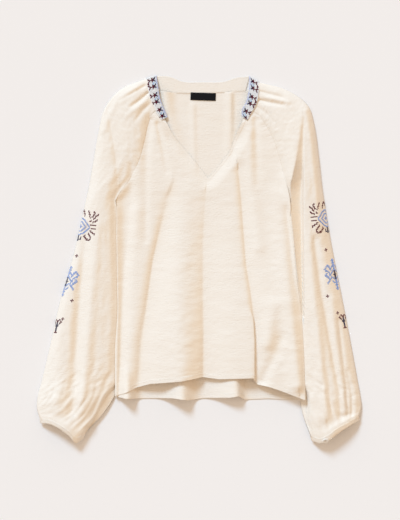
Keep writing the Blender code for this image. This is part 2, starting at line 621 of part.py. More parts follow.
def build_front_band(name, table):
    """Front neck band: a doubled strip from the shoulder fold to the top of the V."""
    free, seam = (spread([getattr(row, key) for row in table], BAND_ROWS) for key in ("free", "seam"))
    share = np.linspace(0.0, 1.0, len(table))
    height = curve(share, [(row.height,) for row in table], np.linspace(0.0, 1.0, BAND_ROWS))[:, 0]
    across = np.linspace(0.0, 1.0, BAND_COLUMNS)
    crest = BAND_CROWN * np.sin(np.pi * across)
    rows = []
    for i in range(BAND_ROWS):
        line = free[i] * (1 - across[:, None]) + seam[i] * across[:, None]
        rows.append(np.column_stack((line, height[i] + crest)))
    make_object(name, *thicken(np.array(rows), BAND_WALL))


def build_back_band():
    """Back neck band, its inner face up, flat on the surface behind the neck."""
    seam_x = np.linspace(*BACK_BAND_ENDS, BACK_BAND_COLUMNS)
    seam = np.column_stack((seam_x, np.interp(seam_x, *zip(*BACK_NECK))))
    top = spread(BACK_BAND_TOP, BACK_BAND_COLUMNS)
    across = np.linspace(0.0, 1.0, 3)[None, :, None]
    plan = top[:, None] * (1 - across) + seam[:, None] * across
    middle = np.dstack((plan, np.full(plan.shape[:2], BACK_BAND_WALL / 2)))
    make_object("neckband_back", *thicken(middle, BACK_BAND_WALL))


def build_label():
    """Bare woven label on the back below the neck band."""
    width, depth, thick = (size * MM for size in LABEL_SIZE)
    mesh = bpy.data.meshes.new("label")
    work = bmesh.new()
    bmesh.ops.create_cube(work, size=1.0)
    bmesh.ops.scale(work, vec=(width, depth, thick), verts=work.verts)
    work.to_mesh(mesh)
    work.free()
    solid = place("label", mesh)
    solid.location = (LABEL_CENTRE[0] * MM, LABEL_CENTRE[1] * MM, (WALL + STACK_GAP) * MM + thick / 2)
    solid.rotation_euler[2] = LABEL_TURN


def build_button(name, cuff, column):
    """Small dished cuff button, turned from its profile and seated on the cuff at the given column."""
    profile = [(BUTTON_RADIUS * r, BUTTON_THICK * z) for r, z in BUTTON_PROFILE]
    sides = BUTTON_SIDES
    points, faces = [(0.0, 0.0, profile[0][1])], []
    for r, z in profile[1:-1]:
        for i in range(sides):
            angle = 2 * np.pi * i / sides
            points.append((r * np.cos(angle), r * np.sin(angle), z))
    points.append((0.0, 0.0, profile[-1][1]))
    last = len(points) - 1
    rings = len(profile) - 2
    for i in range(sides):
        j = (i + 1) % sides
        faces.append((0, 1 + j, 1 + i))
        faces.append((last, last - sides + i, last - sides + j))
        for ring in range(rings - 1):
            a, b = 1 + ring * sides, 1 + (ring + 1) * sides
            faces.append((a + i, a + j, b + j, b + i))
    solid = make_object(name, points, faces)
    seat = cuff[1, column]
    normal = np.cross(cuff[1, column + 1] - cuff[1, column - 1], cuff[2, column] - cuff[0, column])
    normal /= np.linalg.norm(normal)
    if (normal @ (seat - cuff[1].mean(axis=0))) < 0:
        normal = -normal
    solid.location = (seat + normal * (BAND_WALL / 2 + SEAM_GAP)) * MM
    solid.rotation_mode = "QUATERNION"
    solid.rotation_quaternion = Vector(normal).to_track_quat("Z", "Y")


def main():
    """Builds every piece of the blouse."""
    for old in list(bpy.data.objects):
        bpy.data.objects.remove(old, do_unlink=True)
    build_back()
    build_front()
    build_sleeve("sleeve_left", SLEEVE_LEFT, CUFF_LEFT, LEFT_FOLDS)
    build_sleeve("sleeve_right", SLEEVE_RIGHT, CUFF_RIGHT, RIGHT_FOLDS)
    left_cuff = build_cuff("cuff_left", SLEEVE_LEFT[-1].crown, CUFF_LEFT)
    right_cuff = build_cuff("cuff_right", SLEEVE_RIGHT[-1].crown, CUFF_RIGHT)
    build_front_band("neckband_left", BAND_LEFT)
    build_front_band("neckband_right", BAND_RIGHT)
    build_back_band()
    build_label()
    build_button("button_left", left_cuff, LEFT_BUTTON_COLUMN)
    build_button("button_right", right_cuff, RIGHT_BUTTON_COLUMN)


main()
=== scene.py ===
"""Looks of a gathered V-neck blouse: crinkled crepe, stitched seams, embroidered bands and sleeves.

The blouse lies on its back. Seen from above x runs to the right and y up to the neck, and z rises from
the floor. Lengths are in millimetres until a mesh is made.
"""

import logging
from dataclasses import dataclass, field
from enum import Enum
from typing import Any, Callable, Iterable, Sequence

import bmesh
import bpy
import numpy as np
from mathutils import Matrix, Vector


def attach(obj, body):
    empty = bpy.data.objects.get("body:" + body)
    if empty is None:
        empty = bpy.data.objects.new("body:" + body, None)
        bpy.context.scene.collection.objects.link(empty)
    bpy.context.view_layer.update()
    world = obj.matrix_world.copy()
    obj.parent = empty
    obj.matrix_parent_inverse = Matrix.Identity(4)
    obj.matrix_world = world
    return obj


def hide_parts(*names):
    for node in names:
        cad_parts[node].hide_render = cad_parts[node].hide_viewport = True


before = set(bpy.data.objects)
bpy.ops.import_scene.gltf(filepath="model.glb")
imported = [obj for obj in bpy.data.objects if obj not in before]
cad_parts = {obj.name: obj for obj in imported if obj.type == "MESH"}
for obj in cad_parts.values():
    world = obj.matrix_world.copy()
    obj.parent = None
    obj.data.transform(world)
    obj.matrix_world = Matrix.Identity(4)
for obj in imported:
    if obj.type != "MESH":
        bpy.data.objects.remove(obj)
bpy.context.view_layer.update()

BODY = "root"
MM = 0.001

# Warm painted shade on the crepe's slopes that face away from the key light: the plan way those slopes
# face, the slope it starts at, the slope from which it goes again, how much more slope either takes, the
# share that steep cloth loses, and how many times neighbours are averaged
PAINTED_SHADE_SIDE = (0.8, -0.6, 0.0)
PAINTED_SHADE_FROM, STEEP_FROM, PAINTED_SHADE_RUN = 0.04, 0.4, 0.3
STEEP_LOSS = 0.85
PAINTED_SHADE_ROUNDS = 6

# An overhanging fold: how far its shift reaches, and the share of the path over which it comes in
OVERHANG_FADE = 30.0
OVERHANG_RISE = 0.3

# Share of the body's rows over which the bend of a hem fades
HEM_BEND = 0.6

# Width and rise of running stitches
RUNNING = (0.4, 0.2)

# Rings of a stitch: share of its way, size and lift of each
STITCH_RINGS = ((0.12, 0.8, 0.45), (0.5, 1.0, 1.0), (0.88, 0.8, 0.45))

# Cross stitch: share of a cell that its arms span, how far the upper arm lies over the lower one, and the
# share of a cell that has to fit on the cloth
CROSS_SPAN, CROSS_OVER, CROSS_FIT = 0.94, 0.12, 0.9

log = logging.getLogger("blouse")

Plan = tuple[float, float]
Pair = tuple[float, float]
Colour = tuple[float, float, float]


class Side(Enum):
    """Side of the blouse as seen from above."""

    LEFT = -1
    RIGHT = 1


class FoldKind(Enum):
    """How a fold changes the height of the cloth beside its path."""

    SOFT = "soft"
    SHARP = "sharp"
    STEP = "step"


class Thread(Enum):
    """Threads of the embroidery and the letter that stands for each in a chart."""

    BURGUNDY = "b"
    NAVY = "n"
    BLUE = "a"
    LILAC = "l"
    SKY = "s"
    WHITE = "."


# Shapes in the plane and in height


def ease(x: np.ndarray | float) -> np.ndarray:
    """Smooth step from 0 to 1 while x goes from 0 to 1."""
    x = np.clip(x, 0.0, 1.0)
    return x * x * (3.0 - 2.0 * x)


def round_edge(distance: np.ndarray, width: float) -> np.ndarray:
    """Quarter ellipse: 0 at the edge, 1 from the given width inwards."""
    return np.sqrt(1.0 - (1.0 - np.clip(distance / width, 0.0, 1.0)) ** 2)


def curve(knots: Sequence[float], values: Any, t: np.ndarray) -> np.ndarray:
    """Smooth curve through the values at the knots.

    Args:
        knots: Rising positions of the values.
        values: One row for each knot.
        t: Positions to read.

    Returns:
        One row for each position.
    """
    knots, values, t = np.asarray(knots, float), np.asarray(values, float), np.asarray(t, float)
    slopes = np.gradient(values, knots, axis=0)
    i = np.clip(np.searchsorted(knots, t, side="right") - 1, 0, len(knots) - 2)
    step = (knots[i + 1] - knots[i])[:, None]
    s = (t - knots[i])[:, None] / step
    start = (1 + 2 * s) * (1 - s) ** 2 * values[i] + s * (1 - s) ** 2 * step * slopes[i]
    end = s * s * (3 - 2 * s) * values[i + 1] + s * s * (s - 1) * step * slopes[i + 1]
    return start + end


def smooth_max(first: np.ndarray, second: np.ndarray, blend: float = 1.0) -> np.ndarray:
    """Larger one of two values, rounded where they are about equal."""
    return 0.5 * (first + second + np.sqrt((first - second) ** 2 + blend))


def run_length(points: np.ndarray) -> np.ndarray:
    """Distance travelled along a line of points, at each of them."""
    return np.concatenate(([0.0], np.cumsum(np.linalg.norm(np.diff(points, axis=0), axis=1))))


def spread(points: Any, count: int) -> np.ndarray:
    """Evenly spaced points on a smooth curve through the given ones.

    Args:
        points: Points to pass through.
        count: Number of points to make.

    Returns:
        The spaced points.
    """
    points = np.asarray(points, float)
    run = run_length(points)
    return curve(run, points, np.linspace(0.0, run[-1], count))


def wrinkle(u: np.ndarray, v: np.ndarray, cell: Pair, seed: int) -> np.ndarray:
    """Smooth random relief from -1 to 1 whose bumps have the given size across and along the cloth.

    Args:
        u: Places across the cloth in mm.
        v: Places along it in mm.
        cell: Size of the bumps.
        seed: Seed of the random heights.

    Returns:
        The relief at each place.
    """
    table = np.random.default_rng(seed).uniform(-1.0, 1.0, (64, 64))
    a, b = u / cell[0] + 1000.0, v / cell[1] + 1000.0
    i, j = np.floor(a).astype(int), np.floor(b).astype(int)
    fa, fb = ease(a - i), ease(b - j)
    i0, i1, j0, j1 = i % 64, (i + 1) % 64, j % 64, (j + 1) % 64
    low = table[i0, j0] * (1 - fa) + table[i1, j0] * fa
    high = table[i0, j1] * (1 - fa) + table[i1, j1] * fa
    return low * (1 - fb) + high * fb


@dataclass(frozen=True)
class Relief:
    """Random relief of a cloth: its depth in mm, the size of its bumps across and along, and its seed."""

    depth: float
    cell: Pair
    seed: int

    def at(self, u: np.ndarray, v: np.ndarray) -> np.ndarray:
        """Height of the relief at places across and along the cloth."""
        return self.depth * wrinkle(u, v, self.cell, self.seed)


@dataclass(frozen=True)
class Fold:
    """A crease of the cloth.

    It follows a path and fades on its west and east sides over the two widths. Its height runs from the
    start of the path to its end. A sharp fold is steepest just west of the path, and a step moves
    everything east of it. An overhang, in mm, lets the west side hang over the east side.
    """

    name: str
    path: tuple[Plan, ...]
    west: float
    east: float
    start: float
    end: float
    kind: FoldKind = FoldKind.SOFT
    overhang: float = 0.0

    def place(self, x: np.ndarray, y: np.ndarray) -> tuple[np.ndarray, np.ndarray]:
        """Signed distance east of the path, and the share of the path that is passed.

        Args:
            x: Plan x of the places.
            y: Plan y of the places.

        Returns:
            The distance and the share at each place.
        """
        path = np.asarray(self.path, float)
        nearest = np.full(np.shape(x), np.inf)
        signed, along = np.zeros(np.shape(x)), np.zeros(np.shape(x))
        spans = len(path) - 1
        for i in range(spans):
            run = path[i + 1] - path[i]
            s = np.clip(((x - path[i][0]) * run[0] + (y - path[i][1]) * run[1]) / (run @ run), 0.0, 1.0)
            dx = x - path[i][0] - s * run[0]
            dy = y - path[i][1] - s * run[1]
            gap = np.hypot(dx, dy)
            closer = gap < nearest
            nearest = np.where(closer, gap, nearest)
            signed = np.where(closer, np.sign(run[0] * dy - run[1] * dx) * gap, signed)
            along = np.where(closer, (i + s) / spans, along)
        return signed, along

    def height(self, x: np.ndarray, y: np.ndarray) -> np.ndarray:
        """Height that the fold adds at the given places.

        Args:
            x: Plan x of the places.
            y: Plan y of the places.

        Returns:
            The height at each place.
        """
        signed, along = self.place(x, y)
        height = self.start + (self.end - self.start) * along
        if self.kind is FoldKind.STEP:
            return height * ease((signed + self.west) / (self.west + self.east))
        width = np.where(signed > 0, self.east, self.west)
        if self.kind is FoldKind.SHARP:
            return height * np.where(signed > 0, np.exp(-(signed / width) ** 2), np.exp(signed / width))
        return height * np.exp(-(signed / width) ** 2)

    def shift(self, x: np.ndarray, y: np.ndarray) -> np.ndarray:
        """Sideways shift of the cloth that makes the overhang.

        Args:
            x: Plan x of the places.
            y: Plan y of the places.

        Returns:
            The shift at each place.
        """
        signed, along = self.place(x, y)
        fade = np.exp(-(np.maximum(-signed - self.west, 0.0) / OVERHANG_FADE) ** 2)
        return self.overhang * ease(along / OVERHANG_RISE) * ease(-signed / self.west) * fade


def folds_height(folds: Iterable[Fold], x: np.ndarray, y: np.ndarray) -> np.ndarray:
    """Sum of all the folds at the given places."""
    return sum(fold.height(x, y) for fold in folds)


@dataclass(frozen=True)
class Station:
    """Crosswise line of a sleeve from neck (t 0) to cuff (t 1): the outer fold, the front raglan seam and
    then the underarm fold, and the back raglan seam. Margin is the flat strip tucked under the body."""

    t: float
    outer: Plan
    inner: Plan
    back: Plan
    margin: float
    crown: float


@dataclass(frozen=True)
class Layout:
    """Plan and heights of the laid-out blouse, which its pieces share."""

    rest: float = 8.0
    hem_lift: float = 13.0
    lift_from: float = 110.0
    lift_run: float = 330.0
    clear: float = 1.7
    wall: float = 0.7
    side_rise: float = 2.8
    side_edges: Pair = (8.4, 15.5)
    side_runs: Pair = (15.0, 8.0)
    side_run: float = 25.0
    below_arm: float = 108.0
    below_run: float = 20.0
    wave_start: float = 0.15
    underarm: float = 0.44
    side_y: tuple[float, ...] = (-262, -175, -99, -23, 53, 110)
    side_left: tuple[float, ...] = (-161, -161, -157, -158, -159, -158)
    side_right: tuple[float, ...] = (200, 197, 192, 182, 175, 168)
    front_hem: tuple[Plan, ...] = (
        (-161, -262), (-141, -256), (-121, -246), (-95, -239), (-36, -234), (5, -226), (36, -230),
        (100, -228), (109, -240), (129, -244), (156, -253), (200, -270))
    back_hem: tuple[Plan, ...] = (
        (-161, -263), (-139, -267), (-51, -266), (-23, -270), (8, -266), (57, -265), (74, -262),
        (84, -269), (129, -267), (200, -271))
    vee_left: tuple[Plan, ...] = ((15, 152), (-8, 183), (-19, 196), (-40, 220), (-53, 238), (-65, 260))
    vee_right: tuple[Plan, ...] = ((15, 152), (41, 183), (55, 203), (68, 234), (76, 250), (82, 264))
    back_neck: tuple[Plan, ...] = ((-76, 318), (-51, 314), (-19, 313), (49, 315), (88, 318))

    def side_x(self, y: np.ndarray, side: Side) -> np.ndarray:
        """Plan x of a side seam, whose last value holds above the underarm.

        Args:
            y: Plan y of the places.
            side: Which of the two seams.

        Returns:
            The plan x at each place.
        """
        rows = [(x,) for x in (self.side_left if side is Side.LEFT else self.side_right)]
        flat = np.clip(np.ravel(y), self.side_y[0], self.side_y[-1])
        return curve(self.side_y, rows, flat)[:, 0].reshape(np.shape(y))

    def from_side(self, x: np.ndarray, y: np.ndarray) -> np.ndarray:
        """Distance inwards from the nearer side seam."""
        return np.minimum(x - self.side_x(y, Side.LEFT), self.side_x(y, Side.RIGHT) - x)

    def below(self, y: np.ndarray) -> np.ndarray:
        """0 above the underarm and 1 below it, where the side seams lie on the sleeves."""
        return ease((self.below_arm - y) / self.below_run)

    def back_height(self, x: np.ndarray, y: np.ndarray) -> np.ndarray:
        """Height of the back: flat, but for hem waves, neck folds and the raised side seams.

        Args:
            x: Plan x of the places.
            y: Plan y of the places.

        Returns:
            The height at each place.
        """
        rise = self.side_rise * ease((self.side_run - self.from_side(x, y)) / self.side_run) * self.below(y)
        waves = folds_height(BACK_FOLDS, x, y)
        return self.wall / 2 + rise + np.maximum(waves - self.wave_start, 0.0)

    def front_height(self, x: np.ndarray, y: np.ndarray) -> np.ndarray:
        """Height of the front, kept clear of the back under it.

        Args:
            x: Plan x of the places.
            y: Plan y of the places.

        Returns:
            The height at each place.
        """
        lift = self.hem_lift * ease((self.lift_from - y) / self.lift_run)
        folds = FRONT_FOLDS + LEFT_FOLDS[:SHARED_FOLDS["left"]] + RIGHT_FOLDS[:SHARED_FOLDS["right"]]
        height = self.rest + lift + folds_height(folds, x, y)
        height = smooth_max(height, self.back_height(x, y) + self.clear)
        for side, edge, run in zip(Side, self.side_edges, self.side_runs):
            inwards = side.value * (self.side_x(y, side) - x)
            falling = 1.0 - np.sin(np.clip(inwards / run, 0.0, 1.0) * np.pi / 2)
            height = height + self.below(y) * falling * (edge - height)
        return height


SLEEVE_LEFT = (
    Station(0.000, (-103, 340), (-88, 281), (-76, 318), 0, 0),
    Station(0.090, (-150, 320), (-98, 256), (-86, 292), 0, 4),
    Station(0.180, (-181, 284), (-106, 222), (-98, 258), 0, 5),
    Station(0.270, (-193, 238), (-115, 188), (-112, 218), 0, 6),
    Station(0.360, (-203, 180), (-131, 153), (-131, 165), 0, 7),
    Station(0.440, (-212, 130), (-159, 110), (-159, 110), 4, 9),
    Station(0.500, (-222, 85), (-159, 76), (-159, 76), 5, 9),
    Station(0.600, (-241, 2), (-152, -10), (-152, -10), 9, 9),
    Station(0.700, (-264, -76), (-150, -85), (-150, -85), 9, 9),
    Station(0.800, (-283, -160), (-152, -158), (-152, -158), 9, 10),
    Station(0.890, (-300, -232), (-156, -228), (-156, -228), 10, 12),
    Station(0.945, (-309, -268), (-164, -266), (-164, -266), 19, 15),
    Station(0.975, (-309, -288), (-186, -298), (-186, -298), 15, 14),
    Station(1.000, (-304, -304), (-217, -330), (-217, -330), 3, 14),
)
SLEEVE_RIGHT = (
    Station(0.000, (113, 333), (109, 276), (88, 318), 0, 0),
    Station(0.090, (164, 319), (121, 258), (98, 292), 0, 4),
    Station(0.180, (203, 292), (134, 236), (106, 258), 0, 7),
    Station(0.270, (217, 254), (145, 208), (121, 218), 0, 10),
    Station(0.360, (226, 188), (157, 164), (146, 165), 0, 12),
    Station(0.440, (232, 135), (169, 112), (169, 112), 22, 13),
    Station(0.500, (239, 88), (173, 80), (173, 80), 22, 13),
    Station(0.600, (251, 18), (172, -5), (172, -5), 23, 14),
    Station(0.700, (268, -68), (182, -82), (182, -82), 16, 15),
    Station(0.800, (284, -150), (188, -160), (188, -160), 13, 15),
    Station(0.890, (299, -232), (190, -232), (190, -232), 13, 15),
    Station(0.945, (305, -266), (190, -270), (190, -270), 13, 15),
    Station(0.975, (306, -284), (197, -303), (197, -303), 6, 14),
    Station(1.000, (302, -299), (209, -336), (209, -336), 3, 14),
)

# The hollow between body and right sleeve: x of its ridge, and x of its sharp edge at each y
HOLLOW_RIDGE = 197.5
HOLLOW_EDGE = ((-140, 197.5), (-99, 191), (-23, 182), (53, 175), (110, 168), (129, 171), (165, 178),
               (205, 186), (243, 190.5), (278, 197.5))

# Cuffs from the inner end to the outer end: the seam to the sleeve, then the free edge
CUFF_LEFT = (
    ((-217, -330), (-222, -343)), ((-235, -339), (-235, -350)), ((-249, -327), (-247, -338)),
    ((-266, -315), (-263, -325)), ((-285, -306), (-284, -315)), ((-304, -304), (-303, -313)),
)
CUFF_RIGHT = (
    ((209, -336), (212, -346)), ((226, -341), (228, -351)), ((242, -335), (246, -344)),
    ((255, -325), (260, -333)), ((283, -309), (287, -316)), ((302, -299), (302, -308)),
)

# The first folds of each sleeve also run on over the front
SHARED_FOLDS = {"left": 6, "right": 4}
FRONT_FOLDS = (
    Fold("left pleat", ((-61, 115), (-75, 60), (-90, -4), (-101, -80), (-113, -156), (-119, -243)),
         9, 30, -4, -11, FoldKind.SHARP),
    Fold("centre pleat", ((10, 120), (5, 34), (5, -80), (6, -165), (5, -230)), 14, 40, -2, -12,
         FoldKind.SHARP),
    Fold("right pleat", ((72, 167), (77, 120), (87, -13), (95, -61), (101, -108), (104, -156), (104, -232)),
         6, 18, -4, -6.5, FoldKind.SHARP),
    Fold("right overlap", ((97, -90), (100, -120), (102, -156), (102, -232)), 5, 0, 0, -5, FoldKind.STEP,
         overhang=6.0),
    Fold("left side fall", ((-152, 118), (-149, 0), (-150, -100), (-151, -262)), 9, 24, -4.5, -18),
    Fold("left panel crest", ((-34, 120), (-40, -60), (-35, -232)), 26, 24, 3, 7),
    Fold("left side crest", ((-122, 90), (-134, -90), (-139, -258)), 12, 12, 2, 5),
    Fold("left side valley", ((-131, 177), (-133, 72), (-139, -4)), 7, 7, -2, -1.5),
    Fold("left chest valley", ((-95, 262), (-102, 190), (-103, 110), (-103, 34)), 9, 7, -3, -2),
    Fold("left neck gather", ((-80, 253), (-68, 200), (-63, 165)), 6, 6, -2.5, -1),
    Fold("right chest valley", ((106, 262), (107, 205), (108, 140)), 7, 7, -2.5, -1.5),
    Fold("right chest ridge", ((92, 240), (96, 150), (112, 20)), 10, 12, 2, 2.5),
    Fold("right side ridge", ((150, 120), (160, 0), (174, -130), (186, -240)), 17, 12, 3, 9),
    Fold("right hem hollow", ((157, -150), (140, -185), (120, -232)), 9, 9, -2, -4),
    Fold("right hem rise", ((140, -90), (128, -160)), 16, 12, 3, 5),
)
BACK_FOLDS = (
    Fold("left wave", ((-136, -150), (-138, -266)), 12, 14, 0, 24),
    Fold("middle wave", ((-33, -120), (-34, -268)), 26, 18, 0, 25),
    Fold("right wave", ((60, -120), (70, -268)), 34, 11, 0, 21),
    Fold("left neck fold", ((-66, 318), (-62, 280), (-52, 240), (-42, 205)), 10, 13, 5.5, 1.5),
    Fold("centre neck fold", ((-13, 290), (-11, 190), (-8, 170)), 7, 5, 1.6, 1),
    Fold("right neck fold", ((58, 312), (58, 250), (54, 180)), 9, 5, 3.5, 1),
)
LEFT_FOLDS = (
    Fold("upper gather", ((-99, 313), (-112, 300), (-130, 288)), 4, 4, -5.5, -2),
    Fold("shoulder gather", ((-106, 326), (-130, 312), (-152, 300)), 4, 4, -3.2, -1.4),
    Fold("lower gather", ((-95, 292), (-108, 280), (-122, 262)), 4, 4, -2.5, -1),
    Fold("gather ridge", ((-98, 303), (-118, 286), (-140, 268)), 5, 5, 2.5, 1),
    Fold("shoulder ridge", ((-118, 322), (-160, 296), (-184, 240)), 7, 7, 2, 1.5),
    Fold("armhole valley", ((-177, 291), (-171, 253), (-161, 196), (-157, 139), (-156, 101)), 9, 24, -5, -3,
         FoldKind.SHARP),
    Fold("long fold", ((-216, 50), (-220, -10), (-226, -63), (-233, -163), (-237, -232), (-240, -290)),
         10, 13, -6, -7.5),
    Fold("long ridge", ((-196, 60), (-206, -60), (-216, -180), (-228, -290)), 13, 11, 2, 5),
    Fold("outer ridge", ((-252, -60), (-268, -180), (-272, -285)), 13, 13, 1, 5),
    Fold("underarm crease", ((-160, -190), (-180, -240), (-205, -300)), 6, 6, -1, -4),
)
RIGHT_FOLDS = (
    Fold("upper gather", ((114, 316), (134, 310), (154, 305)), 4, 4, -2.5, -2),
    Fold("lower gather", ((113, 300), (134, 294), (158, 290)), 4, 4, -4.5, -1.8),
    Fold("small gather", ((111, 286), (126, 274), (140, 258)), 4, 4, -2.5, -1),
    Fold("gather ridge", ((113, 308), (136, 303), (168, 296)), 4, 4, 2, 1.5),
    Fold("shoulder ridge", ((203, 280), (212, 224), (221, 140), (224, 60)), 9, 10, 3, 2),
    Fold("armhole brink", ((193, 268), (184, 205), (174, 150)), 14, 3, 1, 3),
    Fold("long fold", ((216, 34), (230, -70), (246, -156), (264, -250), (267, -300)), 5, 8, -3, -5),
    Fold("long ridge", ((206, 30), (214, -70), (226, -170), (238, -300)), 11, 8, 2, 5),
    Fold("outer fold", ((262, -118), (276, -240), (280, -296)), 4, 4, -2.5, -4),
    Fold("edge fold", ((279, -215), (287, -260), (288, -300)), 3, 4, -2, -3.5),
    Fold("outer ridge", ((250, -80), (262, -200), (272, -290)), 8, 8, 2, 5),
)


# Shader maths


class ShaderTree:
    """Node tree of one material, with short ways to add its nodes."""

    def __init__(self, name: str) -> None:
        """Starts an empty material of the given name.

        Args:
            name: Name of the material.
        """
        self.material = bpy.data.materials.new(name)
        self.material.use_nodes = True
        self.tree = self.material.node_tree
        self.tree.nodes.clear()

    def node(self, kind: str, settings: dict[str, Any] | None = None,
             sockets: dict[Any, Any] | None = None) -> bpy.types.Node:
        """Adds a node.

        Args:
            kind: Blender's name of the node type.
            settings: The node's own options, set first. "stops" are a ramp's positions and colours.
            sockets: Value, Signal or output socket for each input, by its name or number.

        Returns:
            The new node.
        """
        node = self.tree.nodes.new(kind)
        for key, value in (settings or {}).items():
            if key == "stops":
                self._set_stops(node, value)
            else:
                setattr(node, key, value)
        for key, value in (sockets or {}).items():
            target = node.inputs[key]
            if isinstance(value, Signal):
                value = value.socket
            if isinstance(value, bpy.types.NodeSocket):
                self.tree.links.new(value, target)
            else:
                target.default_value = value
        return node

    @staticmethod
    def _set_stops(node: bpy.types.Node, stops: Sequence[tuple[float, Colour]]) -> None:
        """Gives a colour ramp its stops.

        Args:
            node: The ramp.
            stops: Position and colour of each stop.
        """
        elements = node.color_ramp.elements
        while len(elements) < len(stops):
            elements.new(0.5)
        for element, (position, colour) in zip(elements, stops):
            element.position = position
            element.color = (*colour, 1.0)

    def mix(self, share: "Signal | float", first: Any, second: Any) -> bpy.types.NodeSocket:
        """Colour between two colours by a share.

        Args:
            share: How much of the second colour there is.
            first: First colour or its socket.
            second: Second colour or its socket.

        Returns:
            The socket of the mixed colour.
        """
        made = [(*c, 1.0) if isinstance(c, tuple) and len(c) == 3 else c for c in (first, second)]
        node = self.node("ShaderNodeMix", {"data_type": "RGBA"}, {0: share, 6: made[0], 7: made[1]})
        return node.outputs[2]

    def cloth(self, cell: Pair) -> bpy.types.NodeSocket:
        """Place on the flat cloth, counted in cells of the given size in mm across and along.

        Args:
            cell: Size of a cell.

        Returns:
            The socket of the place.
        """
        place = self.node("ShaderNodeAttribute", {"attribute_name": "cloth"}).outputs["Vector"]
        scale = (1.0 / cell[0], 1.0 / cell[1], 0.0)
        return self.node("ShaderNodeVectorMath", {"operation": "MULTIPLY"}, {0: place, 1: scale}).outputs[0]

    def painted_shade(self) -> "Signal":
        """Share from 0 to 1 of the warm painted shade on the slopes of the folds that face away from the
        key light.
        """
        place = self.node("ShaderNodeAttribute", {"attribute_name": "cloth"}).outputs["Vector"]
        return Signal(self, self.node("ShaderNodeSeparateXYZ", {}, {0: place}).outputs[2])

    def noise(self, place: bpy.types.NodeSocket, detail: float = 2.0, distortion: float = 0.0) -> "Signal":
        """Smooth noise from about 0 to 1, one bump in each unit of the place.

        Args:
            place: Socket of the place.
            detail: Octaves of finer noise.
            distortion: How much the bumps are twisted.

        Returns:
            The noise.
        """
        node = self.node("ShaderNodeTexNoise", {},
                         {"Vector": place, "Scale": 1.0, "Detail": detail, "Distortion": distortion})
        return Signal(self, node.outputs["Fac"])

    def bump(self, height: "Signal", distance: float,
             under: bpy.types.NodeSocket | None = None) -> bpy.types.NodeSocket:
        """Normal of a relief.

        Args:
            height: Its height, where 0 to 1 stands for the distance.
            distance: That height in mm.
            under: Normal of a coarser relief that it lies on.

        Returns:
            The socket of the normal.
        """
        sockets = {"Height": height, "Distance": distance * MM}
        if under is not None:
            sockets["Normal"] = under
        return self.node("ShaderNodeBump", {}, sockets).outputs["Normal"]

    def finish(self, sockets: dict[str, Any]) -> bpy.types.Material:
        """Ends the material with a Principled shader that has the given sockets.

        Args:
            sockets: Value or socket for each input of the shader.

        Returns:
            The material.
        """
        shader = self.node("ShaderNodeBsdfPrincipled", {}, sockets)
        self.node("ShaderNodeOutputMaterial", {}, {"Surface": shader.outputs[0]})
        return self.material


class Signal:
    """Value socket of a shader tree. Expressions on it add Math nodes."""

    def __init__(self, tree: ShaderTree, socket: bpy.types.NodeSocket) -> None:
        """Wraps an output socket."""
        self.tree = tree
        self.socket = socket

    def _math(self, operation: str, first: Any, second: Any = 0.0, clamp: bool = False) -> "Signal":
        """Adds a Math node on two values.

        Args:
            operation: Blender's name of the operation.
            first: First value.
            second: Second value.
            clamp: Whether the result is kept from 0 to 1.

        Returns:
            The result.
        """
        node = self.tree.node("ShaderNodeMath", {"operation": operation, "use_clamp": clamp},
                              {0: first, 1: second})
        return Signal(self.tree, node.outputs[0])

    def __add__(self, other: Any) -> "Signal":
        """Sum."""
        return self._math("ADD", self, other)

    __radd__ = __add__

    def __mul__(self, other: Any) -> "Signal":
        """Product."""
        return self._math("MULTIPLY", self, other)

    __rmul__ = __mul__

    def __sub__(self, other: Any) -> "Signal":
        """Difference."""
        return self._math("SUBTRACT", self, other)

    def __rsub__(self, other: Any) -> "Signal":
        """Difference from a number."""
        return self._math("SUBTRACT", other, self)

    def clamp(self) -> "Signal":
        """The value kept from 0 to 1."""
        return self._math("ADD", self, 0.0, clamp=True)


# Finishes


@dataclass(frozen=True)
class CrepeFinish:
    """Matte crinkled crepe: fine wrinkles across the cloth, a pebbled face, slightly uneven colour with
    painted shade in the crinkle hollows, and a warmer painted shade on the slopes of its folds that face
    away from the key light, standing in for light passed from cloth to cloth."""

    name: str = "crepe"
    light: Colour = (0.9, 0.833, 0.75)
    # colour of the random patchy tone, and of painted shade in the crinkle hollows
    uneven_and_crinkle_shade: Colour = (0.885, 0.795, 0.69)
    # colour of the warm painted shade on slopes that face away from the key light
    pleat: Colour = (0.9, 0.755, 0.59)
    crinkle: float = 0.7
    pebble: float = 0.2

    def material(self) -> bpy.types.Material:
        """Makes the material.

        Returns:
            The material.
        """
        tree = ShaderTree(self.name)
        crinkles = tree.noise(tree.cloth((8.0, 3.0)), detail=2.5, distortion=0.8)
        strength = tree.noise(tree.cloth((55.0, 90.0)), detail=1.0)
        pebbles = tree.noise(tree.cloth((1.3, 1.0)), detail=2.0)
        patches = tree.noise(tree.cloth((70.0, 45.0)), detail=2.0)
        slubs = tree.noise(tree.cloth((30.0, 1.4)), detail=1.0)
        # the deeper colour follows random patches and slubs, and is painted shade in the crinkle hollows
        # where the crinkle relief is low
        share = (patches * 0.6 + slubs * 0.3 + (1 - crinkles) * 0.25 - 0.2).clamp()
        relief = tree.bump(crinkles * (strength * 1.2 + 0.3), self.crinkle)
        return tree.finish({
            # warm painted shade mixed in by the third value of the cloth attribute
            "Base Color": tree.mix(tree.painted_shade(), tree.mix(share, self.light, self.uneven_and_crinkle_shade), self.pleat),
            "Roughness": 0.82 + pebbles * 0.12,
            "Normal": tree.bump(pebbles, self.pebble, relief),
            "Specular IOR Level": 0.25,
            "Sheen Weight": 0.12,
            "Sheen Roughness": 0.6,
        })


